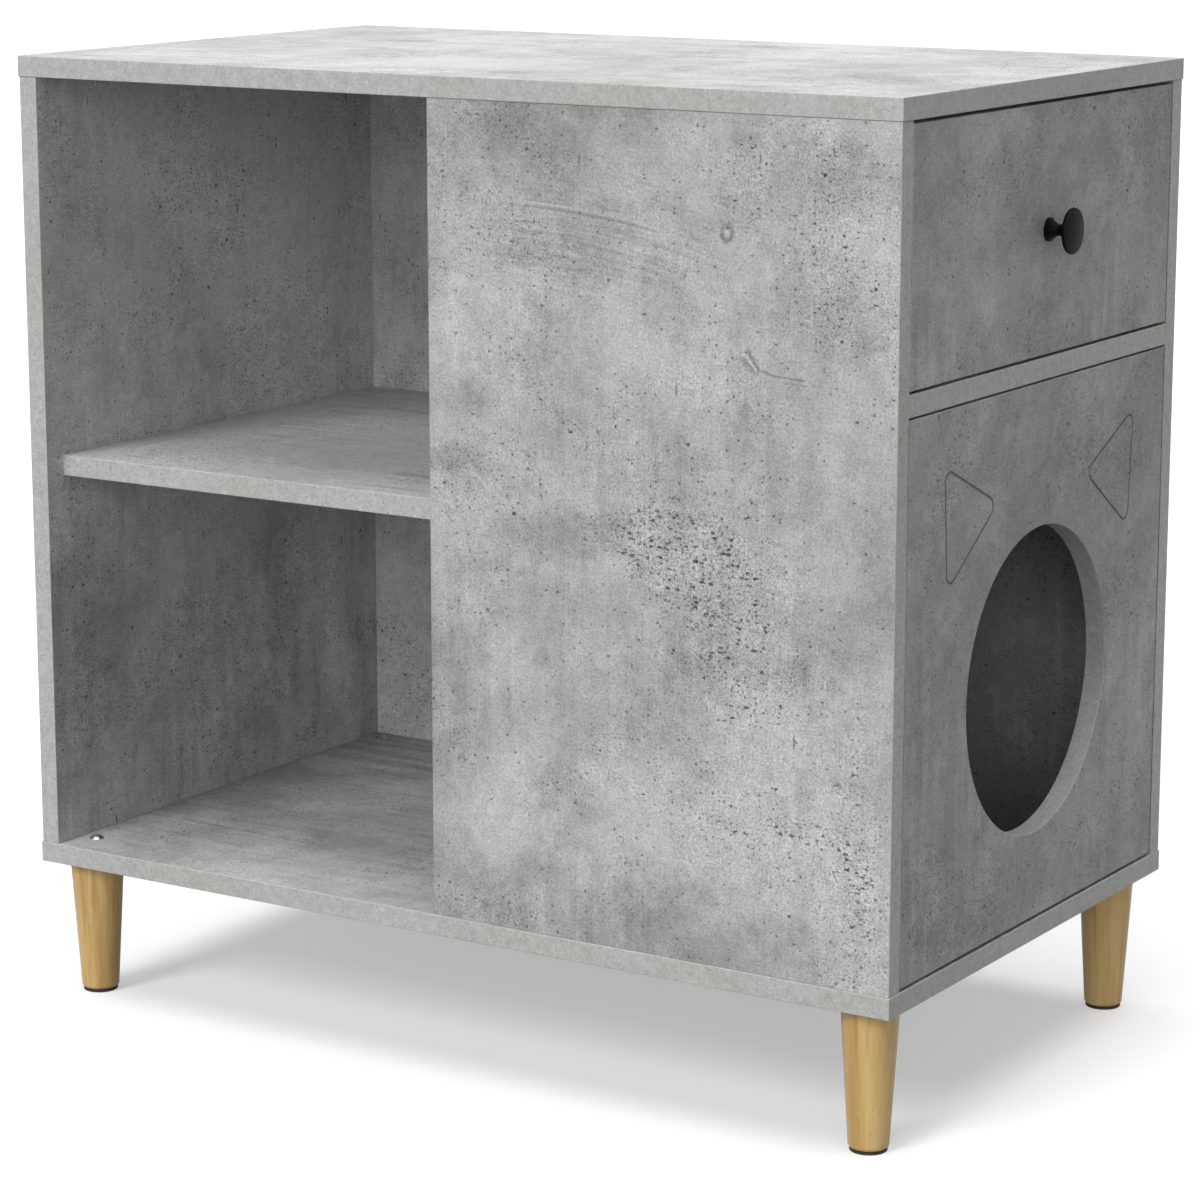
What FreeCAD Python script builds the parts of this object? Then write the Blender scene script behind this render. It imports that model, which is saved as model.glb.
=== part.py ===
import FreeCAD, Part
import math
import os
from FreeCAD import Vector

# Cat house: a board cabinet on four turned legs, with two open shelves on the left, and on the
# right a drawer over a sleeping chamber that is entered through a round hole in its hinged door.
# Millimetres, +Z up. The open shelves face -Y (front), the drawer and the door face +X.

# Carcase
board = 15.0                     # thickness of every carcase board, the drawer front and the door
carcase_width = 715.0            # top board, left to right
carcase_depth = 424.0            # top board, front to back
carcase_height = 597.0           # underside of the bottom board to the top
overhang = 0.7                   # top and bottom boards beyond the faces of the uprights
edge_round = 0.6                 # rounding of the banded edges
front_panel_width = 359.0        # closed part of the front
shelf_clear_height = 276.0       # floor to the underside of the shelf
shelf_setback = 17.5             # shelf edge behind the front of the uprights
chamber_clear_height = 379.0     # floor to the underside of the drawer deck

# Legs
leg_length = 100.0
leg_top_diameter = 40.0
leg_foot_diameter = 27.5
leg_foot_round = 3.0
leg_inset = 29.0                 # leg axis from both edges of the bottom board
pad_diameter = 25.7
pad_thickness = 2.0
leg_bolt_diameter = 6.0
leg_bolt_grip = 25.0             # thread below the bottom board
leg_bolt_head_diameter = 11.0
leg_bolt_head_height = 3.0
leg_bolt_clearance = 0.2         # radial, in the bottom board
insert_diameter = 10.0
insert_length = 20.0
insert_bottom_space = 8.0        # room for the bolt's end under the insert

# Gaps round the drawer front and the door, which stand between the front and back panels
leaf_gap_front = 1.2
leaf_gap_back = 2.0
drawer_gap_top = 2.4
drawer_gap_bottom = 2.0
door_gap_top = 1.5
door_gap_bottom = 2.0

# Door
hole_diameter = 215.0
hole_height = 171.0              # centre of the hole above the chamber floor
hole_round = 0.8
ear_corner_radius = 6.5          # the ear outlines are triangles with round corners
ear_groove_width = 1.2
ear_groove_depth = 0.8
ear_outer_corner = (137.5, 158.5)    # corner centres: sideways from the hole's centre, and above it
ear_inner_corner = (81.0, 133.0)
ear_lower_corner = (133.5, 97.5)
pivot_from_face = 6.0            # pivot axis behind the door's outer face
pivot_from_edge = 10.0           # pivot axis from the door's back edge
pivot_diameter = 5.0
pivot_in_door = 22.0
pivot_in_bush = 8.0
pivot_running_fit = 0.05         # radial
bush_diameter = 9.0
bush_flange_diameter = 11.0
bush_depth = 9.0
upper_flange = 1.0
lower_flange = 1.7

# Magnetic catch
catch_length = 45.0
catch_depth = 14.0
catch_height = 13.0
catch_from_front = 55.0          # from the front panel's inner face
catch_gap = 0.3                  # catch to strike plate
magnet_length = 30.0
magnet_height = 8.0
magnet_depth = 10.0
strike_length = 36.0
strike_height = 12.0
strike_thickness = 1.5

# Drawer
drawer_board = 12.0
drawer_floor_space = 14.0        # deck to the underside of the drawer sides
drawer_head_space = 39.0         # drawer sides to the top board
drawer_back_space = 29.0         # drawer box to the divider
drawer_bottom_thickness = 3.0
drawer_bottom_height = 10.0      # groove above the lower edge of the sides
groove_depth = 6.0
groove_play = 0.2
knob_base_diameter = 16.2
knob_neck_diameter = 7.5
knob_head_diameter = 30.6
knob_base_edge = 1.6             # straight foot of the knob
knob_neck_height = 8.0           # where the neck is thinnest
knob_rim_height = 16.6           # where the head reaches its full diameter
knob_rim_thickness = 2.2
knob_crown = 1.2                 # rise of the head's front over its rim
knob_screw_diameter = 4.0
knob_screw_in_knob = 9.0
knob_screw_head_diameter = 8.0
knob_screw_head_height = 2.4

# Drawer runners, with one roller on the cabinet and one on the drawer at each side
runner_space = 13.0              # cabinet wall to drawer side
runner_steel = 1.2
runner_front_space = 3.0         # runner behind the drawer front
runner_back_space = 26.0         # cabinet runner to the divider
channel_floor_height = 1.5       # above the underside of the drawer side
channel_clear_height = 26.0
channel_flange = 10.0
roller_radius = 10.5
roller_width = 6.0
roller_from_wall = 4.0
roller_end_space = 14.0          # roller axis from the end of its runner
roller_lift = 1.5                # cabinet roller above the channel floor
roller_gap = 0.3                 # roller to the steel that it carries or runs on
roller_side_gap = 0.3
axle_diameter = 4.0
axle_running_fit = 0.05          # radial
axle_collar_diameter = 7.0
axle_end_diameter = 6.0
axle_end_thickness = 0.6
track_from_wall = 3.5

# Fasteners
screw_fit = 0.05                 # radial room in every bore that holds a fastener
bore_end_space = 0.5             # bore beyond a fastener's end
cam_backset = 24.0               # disc axis from the joint
cam_disc_diameter = 15.0
cam_disc_depth = 12.0
cam_thread_diameter = 5.0
cam_thread_length = 10.0
cam_shank_diameter = 6.0
cam_neck_diameter = 4.0
cam_head_diameter = 6.4
cam_head_length = 3.0
cam_slot_width = 1.4
cam_slot_depth = 1.5
cam_shank_clearance = 0.3
drawer_cam_disc_diameter = 12.0
drawer_cam_disc_depth = 10.0
confirmat_length = 48.0
drawer_confirmat_length = 40.0
confirmat_head_diameter = 10.0
confirmat_head_depth = 3.5
confirmat_neck_diameter = 7.0
confirmat_thread_diameter = 5.0
hex_socket_width = 4.0
hex_socket_depth = 2.5
dowel_diameter = 8.0
dowel_in_face = 10.0
dowel_in_edge = 20.0
dowel_chamfer = 0.8
small_screw_diameter = 3.5
small_screw_length = 12.0
small_screw_head_diameter = 7.0
small_screw_head_height = 1.4
end_space = 62.0                 # outermost fastener from the end of a joint

# Sizes and places that follow from those
X = Vector(1, 0, 0)
Y = Vector(0, 1, 0)
Z = Vector(0, 0, 1)
underside = pad_thickness + leg_length
floor = underside + board
roof = underside + carcase_height
ceiling = roof - board
shelf_low = floor + shelf_clear_height
shelf_top = shelf_low + board
deck_low = floor + chamber_clear_height
deck_top = deck_low + board
half_width = carcase_width / 2
half_depth = carcase_depth / 2
side_face = half_width - overhang            # outer faces of the uprights
front_face = half_depth - overhang
inner_side = side_face - board
inner_front = front_face - board             # inner faces of the front and back panels
divider_left = side_face - front_panel_width
divider_right = divider_left + board
leaf_front = -inner_front + leaf_gap_front
leaf_back = inner_front - leaf_gap_back
leaf_middle = (leaf_front + leaf_back) / 2
door_low = floor + door_gap_bottom
door_top = deck_low - door_gap_top
hole_centre = Vector(side_face, leaf_middle, floor + hole_height)
pivot = Vector(side_face - pivot_from_face, leaf_back - pivot_from_edge, 0)
drawer_front_low = deck_top + drawer_gap_bottom
drawer_front_top = ceiling - drawer_gap_top
knob_seat = Vector(side_face, leaf_middle, (drawer_front_low + drawer_front_top) / 2)
knob_reach = knob_rim_height + knob_rim_thickness + knob_crown
side_low = deck_top + drawer_floor_space
drawer_side_height = ceiling - drawer_head_space - side_low
side_top = side_low + drawer_side_height
drawer_length = inner_side - divider_right - drawer_back_space
drawer_back_end = inner_side - drawer_length
drawer_half_width = inner_front - runner_space
drawer_inner_half = drawer_half_width - drawer_board
bottom_low = side_low + drawer_bottom_height
bottom_top = bottom_low + drawer_bottom_thickness
channel_floor = side_low + channel_floor_height
runner_front = inner_side - runner_front_space
runner_length = runner_front - divider_right - runner_back_space
runner_back = runner_front - runner_length
cabinet_axle = channel_floor + roller_lift + roller_radius
drawer_axle = channel_floor + roller_gap + roller_radius
track_low = cabinet_axle + roller_radius + roller_gap
rail_screw_length = drawer_bottom_height - 2 * bore_end_space     # ends below the bottom's groove

# The origin is on the floor, under the middle of the overall length from left edge to knob.
frame_shift = Vector(-(knob_reach - overhang) / 2, 0, 0)

bores = {}                       # cutters for each board, by its name
fasteners = {}                   # lists of equal fasteners, by their node's name


def box(low, high):
    size = high - low
    return Part.makeBox(size.x, size.y, size.z, low)


def banded_board(low, high):
    """A board with its edge banding rounded on every edge."""
    solid = box(low, high)
    return solid.makeFillet(edge_round, solid.Edges)


def rod(start, direction, length, diameter):
    return Part.makeCylinder(diameter / 2, length, start, direction)


def joined(solids):
    return solids[0].fuse(solids[1:]).removeSplitter()


def drill(name, *cutters):
    bores.setdefault(name, []).extend(cutters)


def fasten(name, solid):
    fasteners.setdefault(name, []).append(solid)


def evenly(low, high, count):
    """Places along a joint, the outermost ones end_space from its ends."""
    if count == 1:
        return [(low + high) / 2]
    step = (high - low - 2 * end_space) / (count - 1)
    return [low + end_space + step * i for i in range(count)]


def cam_joint(face_board, edge_board, point, inward, outward, thickness, prefix=""):
    """Cam bolt in one board's face, with its disc let into the other board near the joint.

    point is on the joint at mid-thickness, inward runs into the edge board and outward leaves the
    edge board's face that shows the disc.
    """
    disc_diameter = drawer_cam_disc_diameter if prefix else cam_disc_diameter
    disc_depth = drawer_cam_disc_depth if prefix else cam_disc_depth
    shank = cam_backset - disc_diameter / 2
    neck = cam_backset - cam_head_length / 2
    bolt = joined([
        rod(point - inward * cam_thread_length, inward, cam_thread_length, cam_thread_diameter),
        rod(point, inward, shank, cam_shank_diameter),
        rod(point + inward * shank, inward, neck - shank, cam_neck_diameter),
        rod(point + inward * neck, inward, cam_head_length, cam_head_diameter),
    ])
    fasten(prefix + "cam_bolts", bolt)
    seat = point + inward * cam_backset + outward * (thickness / 2)
    along = inward * (disc_diameter / 3)
    across = inward.cross(outward) * (cam_slot_width / 2)
    corners = [seat + along + across, seat + along - across, seat - along - across, seat - along + across]
    slot = Part.Face(Part.makePolygon(corners + corners[:1])).extrude(outward * -cam_slot_depth)
    reach = cam_backset + cam_head_length / 2 + cam_shank_clearance
    throat = rod(point, inward, reach, cam_head_diameter + 2 * cam_shank_clearance)
    disc = rod(seat, outward * -1, disc_depth, disc_diameter).cut([slot, throat])
    fasten(prefix + "cam_discs", disc)
    thread_bore = rod(point, inward * -1, cam_thread_length + bore_end_space, cam_thread_diameter + 2 * screw_fit)
    drill(face_board, thread_bore)
    drill(edge_board, throat, rod(seat, outward * -1, disc_depth, disc_diameter + 2 * screw_fit))


def confirmat(outer_board, inner_board, point, inward, thickness, name, length):
    """Screw with a flush head, through one board's face into the other board's end."""
    socket_ring = [
        point + hex_corner(inward, i) * (hex_socket_width / math.sqrt(3)) for i in range(6)
    ]
    socket = Part.Face(Part.makePolygon(socket_ring + socket_ring[:1])).extrude(inward * hex_socket_depth)
    screw = joined([
        rod(point, inward, confirmat_head_depth, confirmat_head_diameter),
        rod(point, inward, thickness, confirmat_neck_diameter),
        rod(point, inward, length, confirmat_thread_diameter),
    ])
    fasten(name, screw.cut(socket))
    room = 2 * screw_fit
    drill(
        outer_board,
        rod(point, inward, confirmat_head_depth, confirmat_head_diameter + room),
        rod(point, inward, thickness, confirmat_neck_diameter + room),
    )
    drill(inner_board, rod(point, inward, length + bore_end_space, confirmat_thread_diameter + room))


def hex_corner(axis, index):
    """One of six directions square to an axis that lies along X, Y or Z."""
    first = Vector(axis.y, axis.z, axis.x)
    second = axis.cross(first)
    angle = math.radians(60 * index)
    return first * math.cos(angle) + second * math.sin(angle)


def dowel(face_board, edge_board, point, inward):
    length = dowel_in_face + dowel_in_edge
    start = point - inward * dowel_in_face
    pin = rod(start, inward, length, dowel_diameter)
    ends = [edge for edge in pin.Edges if edge.Closed]
    fasten("wood_dowels", pin.makeChamfer(dowel_chamfer, ends))
    bore = rod(start - inward * bore_end_space, inward, length + 2 * bore_end_space, dowel_diameter + 2 * screw_fit)
    drill(face_board, bore)
    drill(edge_board, bore)


def small_screw(plate, wood, point, inward, thickness, name, length=small_screw_length, sunk=False):
    """Screw through a plate, whose outer face holds point, into a board behind it.

    Its head stands on the plate, or is sunk into it.
    """
    way = inward if sunk else inward * -1
    head = rod(point, way, small_screw_head_height, small_screw_head_diameter)
    shank = rod(point, inward, thickness + length, small_screw_diameter)
    fasten(name, joined([head, shank]))
    room = 2 * screw_fit
    bore = rod(point, inward, thickness + length + bore_end_space, small_screw_diameter + room)
    drill(plate, bore)
    drill(wood, bore)
    if sunk:
        drill(plate, rod(point, inward, small_screw_head_height, small_screw_head_diameter + room))


def make_carcase_boards():
    low, high = floor, ceiling
    return {
        "top_panel": banded_board(
            Vector(-half_width, -half_depth, ceiling), Vector(half_width, half_depth, roof)),
        "bottom_panel": banded_board(
            Vector(-half_width, -half_depth, underside), Vector(half_width, half_depth, floor)),
        "left_panel": banded_board(
            Vector(-side_face, -front_face, low), Vector(-inner_side, front_face, high)),
        "back_panel": banded_board(
            Vector(-inner_side, inner_front, low), Vector(side_face, front_face, high)),
        "front_panel": banded_board(
            Vector(divider_left, -front_face, low), Vector(side_face, -inner_front, high)),
        "divider_panel": banded_board(
            Vector(divider_left, -inner_front, low), Vector(divider_right, inner_front, high)),
        "shelf": banded_board(
            Vector(-inner_side, -front_face + shelf_setback, shelf_low),
            Vector(divider_left, inner_front, shelf_top)),
        "drawer_deck": banded_board(
            Vector(divider_right, -inner_front, deck_low), Vector(side_face, inner_front, deck_top)),
    }


def fasten_carcase():
    left_mid = -side_face + board / 2
    back_mid = front_face - board / 2
    divider_mid = divider_left + board / 2
    deck_mid = deck_low + board / 2
    shelf_mid = shelf_low + board / 2
    low, high = floor, ceiling
    # Top board: dowels in the left panel, cams on the hidden faces of the other uprights.
    for y in evenly(-front_face, front_face, 3):
        dowel("top_panel", "left_panel", Vector(left_mid, y, high), Z * -1)
    for x in evenly(divider_left, side_face, 2):
        cam_joint("top_panel", "front_panel", Vector(x, -back_mid, high), Z * -1, Y, board)
    for y in evenly(-inner_front, inner_front, 2):
        cam_joint("top_panel", "divider_panel", Vector(divider_mid, y, high), Z * -1, X, board)
    for x in evenly(-inner_side, side_face, 3):
        cam_joint("top_panel", "back_panel", Vector(x, back_mid, high), Z * -1, Y, board)
    dowel("top_panel", "front_panel", Vector((divider_left + side_face) / 2, -back_mid, high), Z * -1)
    dowel("top_panel", "divider_panel", Vector(divider_mid, 0, high), Z * -1)
    # Bottom board: screws from below.
    feet = [Vector(left_mid, y, underside) for y in evenly(-front_face, front_face, 2)]
    for point in feet:
        confirmat("bottom_panel", "left_panel", point, Z, board, "confirmat_screws", confirmat_length)
    for x in evenly(-inner_side, side_face, 3):
        point = Vector(x, back_mid, underside)
        confirmat("bottom_panel", "back_panel", point, Z, board, "confirmat_screws", confirmat_length)
    for x in evenly(divider_left, side_face, 2):
        point = Vector(x, -back_mid, underside)
        confirmat("bottom_panel", "front_panel", point, Z, board, "confirmat_screws", confirmat_length)
    for y in evenly(-inner_front, inner_front, 2):
        point = Vector(divider_mid, y, underside)
        confirmat("bottom_panel", "divider_panel", point, Z, board, "confirmat_screws", confirmat_length)
    dowel("bottom_panel", "left_panel", Vector(left_mid, 0, low), Z)
    dowel("bottom_panel", "divider_panel", Vector(divider_mid, 0, low), Z)
    dowel("bottom_panel", "front_panel", Vector((divider_left + side_face) / 2, -back_mid, low), Z)
    # Uprights to each other.
    for z in evenly(low, high, 2):
        cam_joint("left_panel", "back_panel", Vector(-inner_side, back_mid, z), X, Y, board)
        cam_joint("front_panel", "divider_panel", Vector(divider_mid, -inner_front, z), Y, X, board)
        point = Vector(divider_mid, front_face, z)
        confirmat("back_panel", "divider_panel", point, Y * -1, board, "confirmat_screws", confirmat_length)
    dowel("left_panel", "back_panel", Vector(-inner_side, back_mid, (low + high) / 2), X)
    dowel("front_panel", "divider_panel", Vector(divider_mid, -inner_front, (low + high) / 2), Y)
    # Drawer deck: cams below at the front, screws through the back panel, dowels in the divider.
    for x in evenly(divider_right, side_face, 2):
        cam_joint("front_panel", "drawer_deck", Vector(x, -inner_front, deck_mid), Y, Z * -1, board)
        point = Vector(x, front_face, deck_mid)
        confirmat("back_panel", "drawer_deck", point, Y * -1, board, "confirmat_screws", confirmat_length)
    for y in evenly(-inner_front, inner_front, 2):
        dowel("divider_panel", "drawer_deck", Vector(divider_right, y, deck_mid), X)
    # Shelf: cams below at both ends.
    for y in evenly(-front_face + shelf_setback, inner_front, 2):
        cam_joint("left_panel", "shelf", Vector(-inner_side, y, shelf_mid), X, Z * -1, board)
        cam_joint("divider_panel", "shelf", Vector(divider_left, y, shelf_mid), X * -1, Z * -1, board)
    middle = (-front_face + shelf_setback + inner_front) / 2
    dowel("left_panel", "shelf", Vector(-inner_side, middle, shelf_mid), X)
    dowel("divider_panel", "shelf", Vector(divider_left, middle, shelf_mid), X * -1)


def make_legs():
    """Turned legs, each held by a dome-head bolt through the bottom board."""
    legs = {}
    for side, x in (("left", -half_width + leg_inset), ("right", half_width - leg_inset)):
        for end, y in (("front", -half_depth + leg_inset), ("back", half_depth - leg_inset)):
            foot = Vector(x, y, pad_thickness)
            head = Vector(x, y, underside)
            cone = Part.makeCone(leg_foot_diameter / 2, leg_top_diameter / 2, leg_length, foot, Z)
            rim = [e for e in cone.Edges if e.Closed and abs(e.CenterOfMass.z - pad_thickness) < 0.01]
            leg = cone.makeFillet(leg_foot_round, rim)
            room = 2 * screw_fit
            insert_bore = rod(head, Z * -1, insert_length, insert_diameter + room)
            deep_bore = rod(head, Z * -1, insert_length + insert_bottom_space, leg_bolt_diameter + room)
            legs[end + "_" + side + "_leg"] = leg.cut([insert_bore, deep_bore])
            insert = rod(head, Z * -1, insert_length, insert_diameter)
            fasten("leg_inserts", insert.cut(deep_bore))
            fasten("foot_pads", rod(Vector(x, y, 0), Z, pad_thickness, pad_diameter))
            fasten("leg_bolts", leg_bolt(Vector(x, y, floor)))
            hole = leg_bolt_diameter + 2 * leg_bolt_clearance
            drill("bottom_panel", rod(Vector(x, y, underside), Z, board, hole))
    return legs


def leg_bolt(seat):
    """Bolt with a low dome head that stands on the floor board, and a hex socket in the dome."""
    rise = leg_bolt_head_height
    reach = leg_bolt_head_diameter / 2
    dome_radius = (rise ** 2 + reach ** 2) / (2 * rise)
    ball = Part.makeSphere(dome_radius, seat + Z * (rise - dome_radius))
    head = ball.common(rod(seat, Z, rise, leg_bolt_head_diameter))
    shank = rod(seat, Z * -1, board + leg_bolt_grip, leg_bolt_diameter)
    top = seat + Z * rise
    ring = [top + hex_corner(Z, i) * (hex_socket_width / math.sqrt(3)) for i in range(6)]
    socket = Part.Face(Part.makePolygon(ring + ring[:1])).extrude(Z * -(rise * 0.6))
    return joined([head, shank]).cut(socket)


def ear_outline(side, spread):
    """Filled ear outline on the door's outer face; spread moves its edge outwards."""
    corners = [ear_outer_corner, ear_inner_corner, ear_lower_corner]
    points = [hole_centre + Vector(0, side * across, up) for across, up in corners]
    core = Part.Face(Part.makePolygon(points + points[:1]))
    return core.makeOffset2D(ear_corner_radius + spread)


def make_door():
    leaf = banded_board(
        Vector(inner_side, leaf_front, door_low), Vector(side_face, leaf_back, door_top))
    leaf = leaf.cut(rod(hole_centre, X * -1, board, hole_diameter))
    rims = [e for e in leaf.Edges if e.Closed and abs(e.Length - math.pi * hole_diameter) < 0.01]
    leaf = leaf.makeFillet(hole_round, rims)
    for side in (-1, 1):
        wide = ear_outline(side, ear_groove_width / 2)
        narrow = ear_outline(side, -ear_groove_width / 2)
        ring = wide.extrude(X * -ear_groove_depth).cut(narrow.extrude(X * -ear_groove_depth))
        leaf = leaf.cut(ring)
    return leaf


def fit_pivots():
    """Pivot pins in the door's upper and lower edges, turning in bushes in the boards."""
    turning = pivot_diameter + 2 * pivot_running_fit
    places = (
        ("drawer_deck", deck_low, door_top, Z, upper_flange),
        ("bottom_panel", floor, door_low, Z * -1, lower_flange),
    )
    for name, board_face, door_edge, outward, flange in places:
        seat = Vector(pivot.x, pivot.y, board_face)
        edge = Vector(pivot.x, pivot.y, door_edge)
        gap = abs(board_face - door_edge)
        start = edge - outward * pivot_in_door
        fasten("door_pivot_pins", rod(start, outward, pivot_in_door + gap + pivot_in_bush, pivot_diameter))
        drill("entrance_door", rod(start - outward * bore_end_space, outward,
                                   pivot_in_door + 2 * bore_end_space, pivot_diameter + 2 * screw_fit))
        bush = joined([
            rod(seat, outward, bush_depth, bush_diameter),
            rod(seat, outward * -1, flange, bush_flange_diameter),
        ])
        bore = rod(seat - outward * flange, outward, flange + pivot_in_bush + bore_end_space, turning)
        fasten("pivot_bushes", bush.cut(bore))
        drill(name, rod(seat, outward, bush_depth, bush_diameter + 2 * screw_fit))


def make_catch():
    """Magnetic catch under the deck; it also stops the door when it closes."""
    face = inner_side - strike_thickness - catch_gap
    start = -inner_front + catch_from_front
    housing = box(
        Vector(face - catch_depth, start, deck_low - catch_height),
        Vector(face, start + catch_length, deck_low))
    middle = Vector(face, start + catch_length / 2, deck_low - catch_height / 2)
    magnet = box(
        middle - Vector(magnet_depth, magnet_length / 2, magnet_height / 2),
        middle + Vector(0, magnet_length / 2, magnet_height / 2))
    strike = box(
        Vector(inner_side - strike_thickness, middle.y - strike_length / 2, middle.z - strike_height / 2),
        Vector(inner_side, middle.y + strike_length / 2, middle.z + strike_height / 2))
    inset = (catch_length - magnet_length) / 4
    for y in (start + inset, start + catch_length - inset):
        point = Vector(face - catch_depth / 2, y, deck_low - catch_height)
        small_screw("catch_housing", "drawer_deck", point, Z, catch_height, "catch_screws", sunk=True)
    point = Vector(inner_side - strike_thickness, middle.y, middle.z)
    small_screw("strike_plate", "entrance_door", point, X, strike_thickness, "strike_screw", sunk=True)
    return {"catch_housing": housing.cut(magnet), "catch_magnet": magnet, "strike_plate": strike}


def make_drawer():
    front = banded_board(
        Vector(inner_side, leaf_front, drawer_front_low), Vector(side_face, leaf_back, drawer_front_top))
    pieces = {"drawer_front": front}
    for name, y0, y1 in (
        ("drawer_left_side", -drawer_half_width, -drawer_inner_half),
        ("drawer_right_side", drawer_inner_half, drawer_half_width),
    ):
        pieces[name] = banded_board(Vector(drawer_back_end, y0, side_low), Vector(inner_side, y1, side_top))
    pieces["drawer_back"] = banded_board(
        Vector(drawer_back_end, -drawer_inner_half, bottom_top),
        Vector(drawer_back_end + drawer_board, drawer_inner_half, side_top))
    tongue = groove_depth - 2 * groove_play
    pieces["drawer_bottom"] = box(
        Vector(drawer_back_end, -drawer_inner_half - tongue, bottom_low),
        Vector(inner_side + tongue, drawer_inner_half + tongue, bottom_top))
    groove = box(
        Vector(drawer_back_end - 1, -drawer_inner_half - groove_depth, bottom_low),
        Vector(inner_side + groove_depth, drawer_inner_half + groove_depth, bottom_top + groove_play))
    for name in ("drawer_front", "drawer_left_side", "drawer_right_side"):
        drill(name, groove)
    return pieces


def fasten_drawer():
    back_mid = drawer_back_end + drawer_board / 2
    for name, side in (("drawer_left_side", -1), ("drawer_right_side", 1)):
        middle = side * (drawer_half_width - drawer_board / 2)
        quarter = (side_top - bottom_top) / 4
        for z in (bottom_top + quarter, side_top - quarter):
            point = Vector(inner_side, middle, z)
            cam_joint("drawer_front", name, point, X * -1, Y * side, drawer_board, "drawer_")
            point = Vector(back_mid, side * drawer_half_width, z)
            confirmat(name, "drawer_back", point, Y * -side, drawer_board, "drawer_confirmats",
                      drawer_confirmat_length)
    for y in evenly(-drawer_inner_half, drawer_inner_half, 3):
        small_screw("drawer_bottom", "drawer_back", Vector(back_mid, y, bottom_low), Z,
                    drawer_bottom_thickness, "drawer_bottom_screws")


def make_knob():
    """Mushroom knob turned about X, held by a screw from inside the drawer front."""
    base = knob_base_diameter / 2
    neck = knob_neck_diameter / 2
    head = knob_head_diameter / 2
    rim_end = knob_rim_height + knob_rim_thickness
    ball = (head ** 2 + knob_crown ** 2) / (2 * knob_crown)     # radius of the crowned front
    crown_mid = knob_reach - ball + math.sqrt(ball ** 2 - head ** 2 / 4)

    def at(height, radius):
        return knob_seat + Vector(height, 0, radius)

    lower_mid = at((knob_base_edge + knob_neck_height) / 2, neck + (base - neck) * 0.3)
    upper_mid = at(knob_neck_height + (knob_rim_height - knob_neck_height) * 0.72, neck + (head - neck) * 0.3)
    outline = [
        Part.makeLine(at(0, 0), at(0, base)),
        Part.makeLine(at(0, base), at(knob_base_edge, base)),
        Part.Arc(at(knob_base_edge, base), lower_mid, at(knob_neck_height, neck)).toShape(),
        Part.Arc(at(knob_neck_height, neck), upper_mid, at(knob_rim_height, head)).toShape(),
        Part.Arc(at(knob_rim_height, head), at(knob_rim_height + knob_rim_thickness / 2, head + 0.3),
                 at(rim_end, head)).toShape(),
        Part.Arc(at(rim_end, head), at(crown_mid, head / 2), at(knob_reach, 0)).toShape(),
        Part.makeLine(at(knob_reach, 0), at(0, 0)),
    ]
    body = Part.Face(Part.Wire(outline)).revolve(knob_seat, X, 360)
    bore_depth = knob_screw_in_knob + bore_end_space
    knob = body.cut(rod(knob_seat, X, bore_depth, knob_screw_diameter + 2 * screw_fit))
    inside = knob_seat - X * board
    screw = joined([
        rod(inside, X * -1, knob_screw_head_height, knob_screw_head_diameter),
        rod(inside, X, board + knob_screw_in_knob, knob_screw_diameter),
    ])
    drill("drawer_front", rod(inside, X, board, knob_screw_diameter + 2 * screw_fit))
    return {"drawer_knob": knob, "knob_screw": screw}


def make_runners():
    """Roller runners: a channel on each cabinet wall, and a rail under each drawer side."""
    pieces = {}
    for hand, side in (("left", -1), ("right", 1)):

        def slab(x0, x1, near, far, z0, z1):
            """A box given by its distances from the cabinet wall."""
            walls = sorted((side * (inner_front - near), side * (inner_front - far)))
            return box(Vector(x0, walls[0], z0), Vector(x1, walls[1], z1))

        channel_top = channel_floor + channel_clear_height
        channel = joined([
            slab(runner_back, runner_front, 0, runner_steel,
                 channel_floor - runner_steel, channel_top + runner_steel),
            slab(runner_back, runner_front, 0, channel_flange, channel_floor - runner_steel, channel_floor),
            slab(runner_back, runner_front, 0, channel_flange, channel_top, channel_top + runner_steel),
        ])
        pieces["cabinet_runner_" + hand] = channel
        web = runner_space - runner_steel
        rail = joined([
            slab(drawer_back_end, runner_front, web, runner_space,
                 side_low - runner_steel, track_low + runner_steel),
            slab(drawer_back_end, runner_front, web, runner_space + drawer_board,
                 side_low - runner_steel, side_low),
            slab(drawer_back_end, runner_front, track_from_wall, runner_space,
                 track_low, track_low + runner_steel),
        ])
        pieces["drawer_runner_" + hand] = rail
        fit_roller(pieces, "cabinet", hand, side, runner_front - roller_end_space, cabinet_axle)
        fit_roller(pieces, "drawer", hand, side, drawer_back_end + roller_end_space, drawer_axle)
        panel = "front_panel" if side < 0 else "back_panel"
        height = channel_floor + channel_clear_height / 2
        for x in evenly(runner_back, runner_front, 3):
            point = Vector(x, side * (inner_front - runner_steel), height)
            small_screw("cabinet_runner_" + hand, panel, point, Y * side, runner_steel, "cabinet_runner_screws")
        for x in evenly(drawer_back_end, runner_front, 2):
            point = Vector(x, side * (drawer_half_width - drawer_board / 2), side_low - runner_steel)
            board_name = "drawer_" + hand + "_side"
            small_screw("drawer_runner_" + hand, board_name, point, Z, runner_steel, "drawer_runner_screws",
                        rail_screw_length)
    return pieces


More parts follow.
